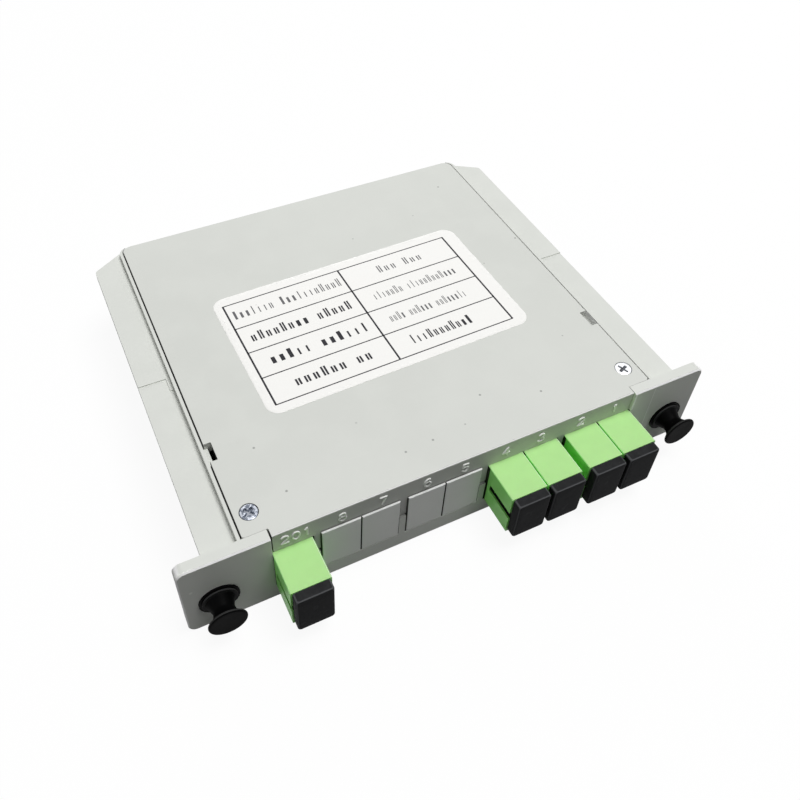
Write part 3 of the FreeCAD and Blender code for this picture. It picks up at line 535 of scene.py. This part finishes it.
def adapter_finish(name, colour, left, right):
    """Light green moulded plastic, a little translucent; painted shade makes it a deeper green on
    its sides and dark in the keyway and where it enters the window; painted highlights run along
    its bevels and its upper edges from left to right (in mm)."""
    finish = Finish(name, specular_ior_level=0.1, subsurface_weight=0.12, subsurface_scale=0.002)
    finish.shader.inputs["Subsurface Radius"].default_value = (0.5, 1.0, 0.3)
    x, y, z = finish.axes()
    mottle = finish.noise(3 * MM, 3.0)
    grain = finish.noise(0.15 * MM, 2.0)
    scratch = finish.hairlines(1.2, 6 * MM, 0.08 * MM, 0.70)
    shade = finish.blend(mottle.above(0.3, 0.7), tinted(colour, 0.985), tinted(colour, 1.015))
    # painted shade: below the top face a deeper green than the top
    shade = finish.blend(z.below(17.25, 17.35), shade, (0.37, 0.97, 0.24))
    # painted highlight on bevels
    shade = finish.blend(finish.bevels() * 0.5, shade, (0.56, 0.97, 0.40))
    shade = finish.blend(scratch * 0.15, shade, (0.6, 0.9, 0.45))
    shade = finish.blend(finish.dots(2.5 * MM, 0.22 * MM, 0.06) * 0.5, shade, tinted(colour, 0.3))
    # painted highlights along the upper left and right edges
    upper = z.above(17.25, 17.32)
    left_edge_highlight = upper * x.below(left + 0.16, left + 0.26)
    right_edge_highlight = upper * x.above(right - 0.28, right - 0.18)
    shade = finish.blend(left_edge_highlight * 0.7, shade, (0.60, 0.98, 0.46))
    shade = finish.blend(right_edge_highlight * 0.9, shade, (0.88, 1.0, 0.82))
    # painted shade: dark walls in the keyway and where the housing enters the window
    keyway = z.within(10.12, 12.17) * x.within(left + 0.3, left + 2.0, 0.15)
    keyway_floor = z.within(10.03, 10.12) * x.within(left + 0.45, left + 2.0, 0.15)
    keyway = keyway.larger(keyway_floor)
    entry = y.above(-44.32, -44.20) * z.below(17.1, 17.2)
    shade = finish.blend((keyway + entry).smaller(1.0), shade, tinted(colour, 0.03))
    finish.colour(shade)
    finish.roughness(0.33 + mottle * 0.14)
    finish.relief((grain, 0.002 * MM), (mottle, 0.02 * MM), (scratch, -0.003 * MM))
    return finish


def cap_finish(colour):
    """Soft black plastic with a dusty bloom, lint, and lighter edges, partly worn and partly
    painted highlight.
    """
    finish = Finish("cap_black", specular_ior_level=0.02)
    bloom = finish.noise(2.2 * MM, 4.0)
    grain = finish.noise(0.12 * MM, 3.0)
    lint = finish.dots(0.9 * MM, 0.07 * MM, 0.16)
    scuff = finish.hairlines(0.2, 2.5 * MM, 0.06 * MM, 0.66)
    shade = finish.blend(bloom.above(0.35, 0.75) * 0.7, tuple(colour), tinted(colour, 1.7))
    # lighter bevels and rounded edges: partly wear, partly painted highlight
    shade = finish.blend(finish.bevels() * 0.8, shade, tinted(colour, 6.0))
    shade = finish.blend(lint * 0.5, shade, (0.16, 0.15, 0.13))
    shade = finish.blend(scuff * 0.25, shade, tinted(colour, 3.0))
    finish.colour(shade)
    finish.roughness(0.50 + bloom * 0.2)
    finish.relief((grain, 0.006 * MM), (bloom, 0.05 * MM))
    return finish


def latch_finish(colour):
    """Satin black moulded plastic with a faint grain and painted highlights on two rims."""
    finish = Finish("latch_black", specular_ior_level=0.015)
    cloud = finish.noise(2.5 * MM, 3.0)
    grain = finish.noise(0.12 * MM, 2.0)
    lint = finish.dots(1.1 * MM, 0.07 * MM, 0.12)
    x, y, z = finish.axes()
    # painted highlight: lighter bands on two rims of the latch
    rims = y.within(-49.85, -49.45, 0.1) + y.within(-44.80, -44.55, 0.1)
    shade = finish.blend(cloud.above(0.3, 0.75) * 0.6, tuple(colour), tinted(colour, 2.0))
    shade = finish.blend(rims * 0.35, shade, (0.10, 0.10, 0.10))
    shade = finish.blend(lint * 0.4, shade, (0.14, 0.13, 0.12))
    finish.colour(shade)
    finish.roughness(0.36 + cloud * 0.2)
    finish.relief((grain, 0.004 * MM), (cloud, 0.03 * MM))
    return finish


def screw_finish(centres, radius):
    """Plated steel with a mottled polish; painted reflections make the left screw duller and bluer
    than the right one, in dark and light blotches; painted shade darkens the recess and a ring
    round the rim."""
    finish = Finish("screw_steel", metallic=1.0)
    stain = finish.noise(0.55 * MM, 5.0)
    patch = finish.noise(0.75 * MM, 3.0)
    x, y, z = finish.axes()
    dull = x.below(-1.0, 1.0)
    recess = z.below(22.90, 23.35)
    rim = 1.0 - finish.spots(centres, radius * 1.08)
    bright = finish.blend(stain.above(0.35, 0.7), (0.93, 0.94, 0.95), (0.80, 0.82, 0.85))
    # painted reflection: dark and light blotches, duller and bluer, on the left screw's head
    reflection_blotches = finish.blend(patch.above(0.44, 0.56), (0.17, 0.19, 0.23), (0.56, 0.59, 0.65))
    shade = finish.blend(dull, bright, reflection_blotches)
    # painted shade in the cross recess
    shade = finish.blend(recess * (0.9 - dull * 0.5), shade, (0.035, 0.04, 0.05))
    # painted shade: a dark ring round the rim
    ring = rim.above(0.80, 0.90) * 0.55 + rim.above(0.60, 0.75) * dull * 0.4
    shade = finish.blend(ring, shade, (0.10, 0.11, 0.14))
    finish.colour(shade)
    finish.roughness(0.20 + stain * 0.22)
    finish.relief((stain, 0.02 * MM), (patch, 0.05 * MM))
    return finish


def paper_finish(colour):
    """Coated label paper with a faint fibre texture and soft waves."""
    finish = Finish("label_paper", specular_ior_level=0.35)
    fibres = finish.noise(0.3 * MM, 5.0)
    waves = finish.noise(14 * MM, 2.0)
    shade = finish.blend(fibres.above(0.35, 0.7), tinted(colour, 0.985), tuple(colour))
    shade = finish.blend(finish.dots(5 * MM, 0.3 * MM, 0.06) * 0.35, shade, (0.45, 0.44, 0.42))
    finish.colour(shade)
    finish.roughness(0.40 + waves * 0.12)
    finish.relief((fibres, 0.003 * MM), (waves, 0.12 * MM))
    return finish


def ink_finish(name, colour):
    """Thermal print: dark grey, broken a little by the paper's fibres."""
    finish = Finish(name, specular_ior_level=0.1)
    break_up = finish.noise(0.12 * MM, 4.0)
    shade = finish.blend(break_up.above(0.45, 0.75) * 0.5, tuple(colour), tinted(colour, 1.6))
    finish.colour(shade)
    finish.roughness(0.5 + break_up * 0.2)
    finish.relief((break_up, 0.003 * MM))
    return finish


def plain_finish(name, colour, rough, grain_size, grain_depth, **constants):
    """A simple inner material: two close shades, a grain and uneven roughness."""
    finish = Finish(name, **constants)
    cloud = finish.noise(grain_size * 12, 3.0)
    grain = finish.noise(grain_size, 2.0)
    finish.colour(finish.blend(cloud.above(0.3, 0.7), tinted(colour, 0.9), tinted(colour, 1.08)))
    finish.roughness(rough + cloud * 0.12)
    finish.relief((grain, grain_depth))
    return finish


# ---------------------------------------------------------------- operators

class LooksOperator:
    """What the cassette's operators share."""

    bl_options = {"REGISTER"}

    @property
    def looks(self):
        return bpy.context.scene.cassette_looks


class CASSETTE_OT_stage(LooksOperator, bpy.types.Operator):
    """Camera, floor, soft lamp and sky"""

    bl_idname = "cassette.stage"
    bl_label = "Stage"

    def execute(self, context):
        scene = context.scene
        scene.view_settings.view_transform = "Standard"
        self.camera(scene)
        self.floor(scene)
        self.lamp(scene, "lamp", (0.4, -0.15, 1.6), 0.9, self.looks.lamp_power)
        self.lamp(scene, "left_fill", (-1.0, -0.1, 0.45), 0.8, self.looks.fill_power)
        self.lamp(scene, "back_fill", (0.35, 1.2, 0.40), 0.8, self.looks.back_power)
        self.sky(scene)
        return {"FINISHED"}

    def camera(self, scene):
        data = bpy.data.cameras.new("camera")
        camera = bpy.data.objects.new("camera", data)
        scene.collection.objects.link(camera)
        right = Vector((0.90332, -0.42858, 0.01816)).normalized()
        back = Vector((-0.31233, -0.6281, 0.7127)).normalized()
        up = back.cross(right).normalized()
        right = up.cross(back).normalized()
        turn = Matrix((right, up, back)).transposed().to_4x4()
        camera.matrix_world = Matrix.Translation(Vector((-0.06769, -0.129915, 0.17282))) @ turn
        data.sensor_width = 36.0
        data.lens = 38.01
        data.shift_x = 0.03973
        data.shift_y = -0.09258
        data.clip_start = 0.01
        data.clip_end = 10.0
        scene.camera = camera

    def floor(self, scene):
        finish = Finish("floor_white", roughness=0.8, specular_ior_level=0.0)
        path = finish.node("ShaderNodeLightPath")
        seen = Wire(finish, path.outputs["Is Camera Ray"])
        seen = seen.larger(Wire(finish, path.outputs["Is Glossy Ray"]))
        seen = seen.larger(Wire(finish, path.outputs["Is Transmission Ray"]))
        finish.colour(finish.blend(seen, (0.10, 0.10, 0.10), (1.0, 1.0, 1.0)))
        glow = finish.node("ShaderNodeEmission", None, {"Color": (1, 1, 1, 1), "Strength": 1.0})
        mix = finish.node("ShaderNodeMixShader")
        finish.join(mix.inputs[0], seen * 0.93)
        finish.tree.links.new(finish.shader.outputs[0], mix.inputs[1])
        finish.tree.links.new(glow.outputs[0], mix.inputs[2])
        finish.tree.links.new(mix.outputs[0], finish.output.inputs["Surface"])
        mesh = bpy.data.meshes.new("floor")
        reach, level = 2.5, -0.02 * MM
        corners = [(x * reach, y * reach, level) for x, y in ((-1, -1), (1, -1), (1, 1), (-1, 1))]
        mesh.from_pydata(corners, [], [(0, 1, 2, 3)])
        mesh.materials.append(finish.material)
        floor = bpy.data.objects.new("floor", mesh)
        scene.collection.objects.link(floor)

    def lamp(self, scene, name, place, size, power):
        data = bpy.data.lights.new(name, "AREA")
        data.shape = "DISK"
        data.size = size
        data.energy = power
        lamp = bpy.data.objects.new(name, data)
        scene.collection.objects.link(lamp)
        lamp.location = place
        lamp.rotation_euler = (-Vector(place)).to_track_quat("-Z", "Y").to_euler()

    def sky(self, scene):
        world = bpy.data.worlds.new("sky")
        scene.world = world
        world.use_nodes = True
        tree = world.node_tree
        tree.nodes.clear()
        path = tree.nodes.new("ShaderNodeLightPath")
        seen = path.outputs["Is Camera Ray"]
        for ray in ("Is Glossy Ray", "Is Transmission Ray"):
            either = tree.nodes.new("ShaderNodeMath")
            either.operation = "MAXIMUM"
            tree.links.new(seen, either.inputs[0])
            tree.links.new(path.outputs[ray], either.inputs[1])
            seen = either.outputs[0]
        level = tree.nodes.new("ShaderNodeMapRange")
        tree.links.new(seen, level.inputs["Value"])
        level.inputs["To Min"].default_value = self.looks.sky_strength
        level.inputs["To Max"].default_value = 1.0
        light = tree.nodes.new("ShaderNodeBackground")
        light.inputs["Color"].default_value = (1, 1, 1, 1)
        tree.links.new(level.outputs[0], light.inputs["Strength"])
        output = tree.nodes.new("ShaderNodeOutputWorld")
        tree.links.new(light.outputs[0], output.inputs["Surface"])


class CASSETTE_OT_case(LooksOperator, bpy.types.Operator):
    """Finish of the tray, the cover and the blank plates"""

    bl_idname = "cassette.case"
    bl_label = "Case"

    def execute(self, context):
        looks = self.looks
        tray = moulded_finish("case_tray", tinted(looks.case_colour, 1.05), marks=tray_marks)
        tray.put_on("base_tray")
        cover = moulded_finish("case_cover", looks.case_colour, marks=cover_marks)
        cover.put_on("top_cover")
        blank = moulded_finish("blank_grey", looks.blank_colour, gloss=0.4, marks=blank_marks)
        blank.put_on(*[f"blank_{port}" for port in BLANKS])
        return {"FINISHED"}


class CASSETTE_OT_numerals(LooksOperator, bpy.types.Operator):
    """Raised numerals on the strip above the ports"""

    bl_idname = "cassette.numerals"
    bl_label = "Numerals"

    def execute(self, context):
        looks = self.looks
        # painted highlight: numerals in a grey lighter than the case plastic they are moulded in
        finish = moulded_finish("numeral_lit_grey", tinted(looks.case_colour, 1.25))
        face_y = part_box("top_cover")[0].y
        strokes = numeral_strokes()
        groups = [(f"numeral_{text}", [(text, x)]) for text, x in PORT_NUMERALS.items()]
        groups.append(("numeral_input", INPUT_NUMERALS))
        size = (looks.numeral_width, looks.numeral_height)
        for name, signs in groups:
            grids = []
            for sign, x in signs:
                for path in strokes[sign]:
                    path = path * size + (x * MM, NUMERAL_CENTRE * MM)
                    grids.append(
                        raised_stroke(path, looks.numeral_stroke, looks.numeral_relief, face_y))
            surface(name, grids, finish, "cassette", 60)
        return {"FINISHED"}


class CASSETTE_OT_label(LooksOperator, bpy.types.Operator):
    """Paper label with a ruled table and plain marks in place of words"""

    bl_idname = "cassette.label"
    bl_label = "Label"

    turn = math.radians(1.4)
    centre = (0.35 * MM, 6.175 * MM)
    half = (35.2 * MM, 20.4 * MM)
    corner = 3.2 * MM

    def execute(self, context):
        low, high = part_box("label")
        self.sheet(low.z, high.z - 0.015 * MM)
        self.print(high.z - 0.018 * MM, high.z - 0.002 * MM)
        return {"FINISHED"}

    def turned_in(self, points):
        """Points of the label's own plane, turned and moved to where it is stuck."""
        c, s = math.cos(self.turn), math.sin(self.turn)
        x = points[..., 0] * c - points[..., 1] * s + self.centre[0]
        y = points[..., 0] * s + points[..., 1] * c + self.centre[1]
        return np.stack([x, y, points[..., 2]], axis=-1)

    def sheet(self, bottom, top):
        """A rounded rectangle's outline times a share that grows from 0 at the middle to 1, on top
        with a ripple of two sines and a round edge, then back to the middle underneath."""
        outline = rounded_outlines([self.half], [self.corner], 17, 14)[0]
        share = np.r_[np.linspace(0, 0.97, 24), 0.99, 0.997, 1.0]
        ring = share[:, None, None] * outline[None]
        ripple = 0.5 + 0.5 * np.sin(ring[..., 0] * 310 + 1.3) * np.sin(ring[..., 1] * 430 + 0.4)
        drop = np.r_[np.zeros(24), 0.08, 0.3, 0.75][:, None] * (top - bottom)
        upper = np.concatenate([ring, (top - 0.003 * MM * ripple - drop)[..., None]], axis=-1)
        lower = np.concatenate([ring[::-1], np.full(ring.shape[:2] + (1,), bottom)], axis=-1)
        points = self.turned_in(np.vstack([upper, lower]))
        finish = paper_finish(self.looks.paper_colour)
        piece = surface("label_sheet", [points], finish, "cassette")
        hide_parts("label")

    def print(self, bottom, top):
        """Rules of a table of four rows and two columns, and groups of marks in each field. A field
        holds the marks' counts, then its width, its shift to the right and the marks' height in
        mm, and whether they are bold."""
        right, high, row_height, thin_rule, rule = 32.0, 17.6, 8.8, 0.30, 0.46
        wide = 2 * right + 0.4
        rules = [(0, row_height * line - high, wide, thin_rule) for line in range(5)]
        rules += [(x, 0.0, rule, 2 * high) for x in (-right, 0, right)]
        fields = [((7, 11), 30.0, 0.0, 3.0, False), ((3, 3), 13.6, 0.2, 2.7, False),
                  ((8, 5), 27.6, 0.0, 3.1, True), ((7, 12), 24.5, 0.1, 2.8, False),
                  ((5, 6), 26.5, 0.9, 3.1, True), ((4, 6, 8), 22.3, -0.9, 2.8, False),
                  ((6, 2), 20.5, 0.5, 3.0, True), ((11,), 17.6, -2.1, 3.0, True)]
        inked = {True: [np.array(rules)], False: []}
        for number, (counts, wide, shift, tall, bold) in enumerate(fields):
            row, column = divmod(number, 2)
            pitch = wide / (sum(counts) + len(counts) - 1)
            x = (column - 0.5) * right + shift - wide / 2
            base = high - row_height * (row + 0.5) - tall * 0.42
            for count in counts:
                inked[bold].append(self.marks(count, x, base, pitch, tall, number, bold))
                x += pitch * (count + 1)
        ink = ink_finish("label_ink", self.looks.ink_colour)
        grey = ink_finish("label_grey", self.looks.grey_colour)
        self.printed("label_print", np.vstack(inked[True]), ink, bottom, top)
        self.printed("label_faint_print", np.vstack(inked[False]), grey, bottom, top)

    def marks(self, count, x, base, pitch, tall, seed, bold):
        """Upright bars one pitch apart, tall ones and ones of 0.68 of that; by its order number
        each is a broad bar, a thin one, or two thin ones side by side."""
        order = np.arange(count)
        height = tall * np.where((order * 5 + seed) % 7 < 2, 1.0, 0.68)
        kind = (order * 4 + seed * 3 + order // 3) % 4
        thin = pitch * (0.22 if bold else 0.17)
        width = np.where(kind == 0, pitch * (0.46 if bold else 0.40), thin)
        middle, aside = x + pitch * (order + 0.5), pitch * 0.17
        pair = kind > 1
        first = np.where(pair, middle - aside, middle)
        bars = np.stack([first, base + height / 2, width, height], axis=-1)
        thin_bars = np.broadcast_arrays(middle + aside, base + height / 2, thin, height)
        return np.vstack([bars, np.stack(thin_bars, axis=-1)[pair]])

    def printed(self, name, rects, finish, bottom, top):
        """Flat boxes on rectangles given in mm, turned with the label and shifted on it."""
        points, faces = boxes(np.array(rects) * MM, bottom, top)
        points = self.turned_in(points)
        points[:, :2] += np.array([-0.83, -0.2]) * MM
        mesh_piece(name, points, faces, finish, "cassette", 30)


class CASSETTE_OT_adapters(LooksOperator, bpy.types.Operator):
    """Finish of the adapters, their caps and what is inside them"""

    bl_idname = "cassette.adapters"
    bl_label = "Adapters and caps"

    def execute(self, context):
        looks = self.looks
        for port in PORTS:
            low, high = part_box(f"adapter_housing_{port}")
            left, right = low.x / MM, high.x / MM
            green = adapter_finish(f"adapter_green_{port}", looks.adapter_colour, left, right)
            green.put_on(f"adapter_housing_{port}")
        soft_black = cap_finish(looks.black_colour)
        for port in PORTS:
            self.cap(port, soft_black)
        hooks = plain_finish("hook_plastic", (0.80, 0.80, 0.76), 0.4, 0.2 * MM, 0.003 * MM)
        hooks.put_on(*[f"adapter_hooks_{port}" for port in PORTS])
        ceramic = plain_finish("ceramic_white", (0.88, 0.88, 0.85), 0.15, 0.1 * MM, 0.001 * MM)
        for kind in ("alignment_sleeve", "ferrule"):
            ceramic.put_on(*[f"{kind}_{port}" for port in PORTS])
        return {"FINISHED"}

    def cap(self, port, finish):
        """Rounded rectangles on stations along Y: over the head's rounded edges, along the plug,
        round its end and down its bore. A station at angle a of an edge of radius r lies
        r(1 - cos a) back and r(1 - sin a) in."""
        low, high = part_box(f"dust_cap_{port}")
        wide, tall = (high.x - low.x) / 2, (high.z - low.z) / 2
        edge, lip, head, corner = self.looks.cap_rounding, 0.15 * MM, 2.3 * MM, 0.75 * MM
        turn = np.linspace(0, np.pi / 2, 7)
        back, inward = 1 - np.cos(turn), 1 - np.sin(turn)
        level = np.zeros(7)
        front_edge = np.stack([edge * back, wide - edge * inward, tall - edge * inward,
                               corner - edge * inward * 0.6, level], axis=-1)
        back_edge = np.stack([head - lip * back, wide - lip * inward, tall - lip * inward,
                              corner - lip * inward, level], axis=-1)[::-1]
        end, drop = high.y - low.y, -0.2 * MM
        plug_x, plug_z, bore, ease = 3.65 * MM, 3.2 * MM, 2.5 * MM, 0.3 * MM
        bore_end, plug_corner, bore_corner = end - 6.6 * MM, 0.4 * MM, 0.2 * MM
        face = [(0.04 * MM, 0, 0, 0, 0), (0.02 * MM, wide * 0.5, tall * 0.5, 0.5 * MM, 0)]
        plug = [(head, plug_x, plug_z, plug_corner, drop),
                (end - ease, plug_x, plug_z, plug_corner, drop),
                (end, plug_x - ease, plug_z - ease, 0.3 * MM, drop),
                (end, bore, bore, bore_corner, drop),
                (bore_end, bore, bore, bore_corner, drop), (bore_end, 0, 0, 0, drop)]
        stations = np.vstack([face, front_edge, back_edge, plug])
        outline = rounded_outlines(stations[:, 1:3], stations[:, 3])
        y = np.broadcast_to((low.y + stations[:, 0])[:, None], outline.shape[:2])
        x = (low.x + high.x) / 2 + outline[..., 0]
        z = (low.z + high.z) / 2 + outline[..., 1] + stations[:, 4][:, None]
        points = np.stack([x, y, z], axis=-1)
        piece = surface(f"soft_cap_{port}", [points], finish, f"cap_{port}")
        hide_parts(f"dust_cap_{port}")


class CASSETTE_OT_inside(LooksOperator, bpy.types.Operator):
    """Finish of the connectors, pigtails and splitter inside the case"""

    bl_idname = "cassette.inside"
    bl_label = "Inside"

    def execute(self, context):
        plug = plain_finish("plug_green", (0.06, 0.42, 0.10), 0.35, 0.2 * MM, 0.004 * MM)
        plug.put_on(*[f"plug_body_{port}" for port in PORTS])
        boot = plain_finish("boot_green", (0.05, 0.34, 0.08), 0.55, 0.15 * MM, 0.006 * MM)
        boot.put_on(*[f"boot_{port}" for port in PORTS])
        jacket = plain_finish("fibre_jacket", (0.88, 0.86, 0.78), 0.35, 0.1 * MM, 0.002 * MM)
        jacket.put_on(*[f"pigtail_{port}" for port in PORTS])
        tube = plain_finish("tube_steel", (0.70, 0.71, 0.73), 0.25, 0.3 * MM, 0.004 * MM,
                            metallic=1.0)
        tube.put_on("splitter_tube")
        filling = plain_finish("tube_filling", (0.06, 0.06, 0.06), 0.6, 0.3 * MM, 0.01 * MM)
        filling.put_on("tube_end_left", "tube_end_right")
        chip = plain_finish("chip_glass", (0.80, 0.88, 0.90), 0.05, 0.3 * MM, 0.001 * MM,
                            transmission_weight=0.8)
        chip.put_on("splitter_chip")
        return {"FINISHED"}


class CASSETTE_OT_latches(LooksOperator, bpy.types.Operator):
    """Turned latch knobs and the finish of their sleeves"""

    bl_idname = "cassette.latches"
    bl_label = "Latches"

    def execute(self, context):
        finish = latch_finish(tinted(self.looks.black_colour, 0.08))
        finish.put_on(*[f"latch_grommet_{side}" for side in SIDES])
        for side in SIDES:
            low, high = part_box(f"latch_plunger_{side}")
            centre = ((low.x + high.x) / 2, low.y, (low.z + high.z) / 2)
            end, foot, pin_radius, ease = high.y - low.y, 5.65 * MM, 1.7 * MM, 0.4 * MM
            knob = smooth_line([
                (0, 0.05), (2.0, 0.03), (3.6, 0.0), (4.0, 0.06), (4.17, 0.22), (4.2, 0.42),
                (4.08, 0.6), (3.6, 0.88), (3.05, 1.35), (2.62, 2.0), (2.38, 2.7), (2.40, 3.2),
                (2.62, 3.9), (2.92, 4.6), (3.2, 5.25)], 6) * MM
            flange = np.array([(3.78, 5.25), (3.86, 5.33)]) * MM
            pin = np.array([(flange[1, 0], foot), (pin_radius, foot), (pin_radius, end - ease),
                            (1.4 * MM, end), (0, end)])
            profile = np.vstack([np.maximum(knob, 0), flange, pin])
            points = turned(profile, centre, self.looks.turn_segments)
            piece = surface(f"latch_knob_{side}", [points], finish, f"{side}_latch")
            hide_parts(f"latch_plunger_{side}")
        return {"FINISHED"}


class CASSETTE_OT_screws(LooksOperator, bpy.types.Operator):
    """The two cover screws with their cross recesses"""

    bl_idname = "cassette.screws"
    bl_label = "Screws"

    def execute(self, context):
        low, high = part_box("cover_screws")
        radius = (high.y - low.y) / 2
        y = (low.y + high.y) / 2
        places = [(low.x + radius, y, math.radians(38)), (high.x - radius, y, math.radians(20))]
        grids = [self.screw(*place, radius, low.z, high.z) for place in places]
        finish = screw_finish([(x, y, high.z) for x, y, turn in places], radius)
        piece = surface("cover_screw_pair", grids, finish, "cassette", 35)
        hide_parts("cover_screws")
        return {"FINISHED"}

    def screw(self, x, y, turn, radius, bottom, top):
        """Rings of a disc: the height falls with the square of the radius, as a quarter circle at
        the rim, and by the pit's depth inside a cross with sloping sides; then down the rim and the
        shank."""
        share = np.r_[0, np.linspace(0.02, 0.9, 56), 0.93, 0.96, 0.98, 0.993, 1.0]
        angle = np.linspace(0, 2 * np.pi, 144, endpoint=False)
        px = radius * share[:, None] * np.cos(angle)
        py = radius * share[:, None] * np.sin(angle)
        arm, half, slope, depth = 1.38 * MM, 0.42 * MM, 0.24 * MM, 0.55 * MM
        crown, rounding, head, shank = 0.06 * MM, 0.16 * MM, 0.9 * MM, 1.0 * MM
        ax, ay = np.abs(px), np.abs(py)
        inside = -np.minimum(np.maximum(ax - arm, ay - half), np.maximum(ay - arm, ax - half))
        pit = depth * np.clip(inside / slope, 0, 1)
        rim = rounding * (1 - np.sqrt(1 - np.clip((share - 0.9) / 0.1, 0, 1) ** 2))
        z = top - (crown * share ** 2 + rim)[:, None] - pit
        down = np.array([(radius, top - head), (shank, top - head), (shank, bottom), (0, bottom)])
        ring = down[:, 0][:, None]
        px = np.vstack([px, ring * np.cos(angle)])
        py = np.vstack([py, ring * np.sin(angle)])
        z = np.vstack([z, np.broadcast_to(down[:, 1][:, None], (4, len(angle)))])
        c, s = math.cos(turn), math.sin(turn)
        return np.stack([x + px * c - py * s, y + px * s + py * c, z], axis=-1)


STEPS = (
    CASSETTE_OT_stage, CASSETTE_OT_case, CASSETTE_OT_numerals, CASSETTE_OT_label,
    CASSETTE_OT_adapters, CASSETTE_OT_inside, CASSETTE_OT_latches, CASSETTE_OT_screws,
)


class CASSETTE_PT_panel(bpy.types.Panel):
    """Steps and settings of the cassette"""

    bl_label = "Cassette"
    bl_idname = "CASSETTE_PT_panel"
    bl_space_type = "VIEW_3D"
    bl_region_type = "UI"
    bl_category = "Cassette"

    def draw(self, context):
        for step in STEPS:
            self.layout.operator(step.bl_idname)
        for name in CassetteLooks.__annotations__:
            self.layout.prop(context.scene.cassette_looks, name)


CLASSES = (CassetteLooks, *STEPS, CASSETTE_PT_panel)


def register():
    for made in CLASSES:
        bpy.utils.register_class(made)
    bpy.types.Scene.cassette_looks = PointerProperty(type=CassetteLooks)


def unregister():
    del bpy.types.Scene.cassette_looks
    for made in reversed(CLASSES):
        bpy.utils.unregister_class(made)


def main():
    register()
    for step in STEPS:
        group, name = step.bl_idname.split(".")
        if getattr(getattr(bpy.ops, group), name)() != {"FINISHED"}:
            raise RuntimeError(f"{step.bl_idname} did not finish")


if __name__ == "__main__":
    main()
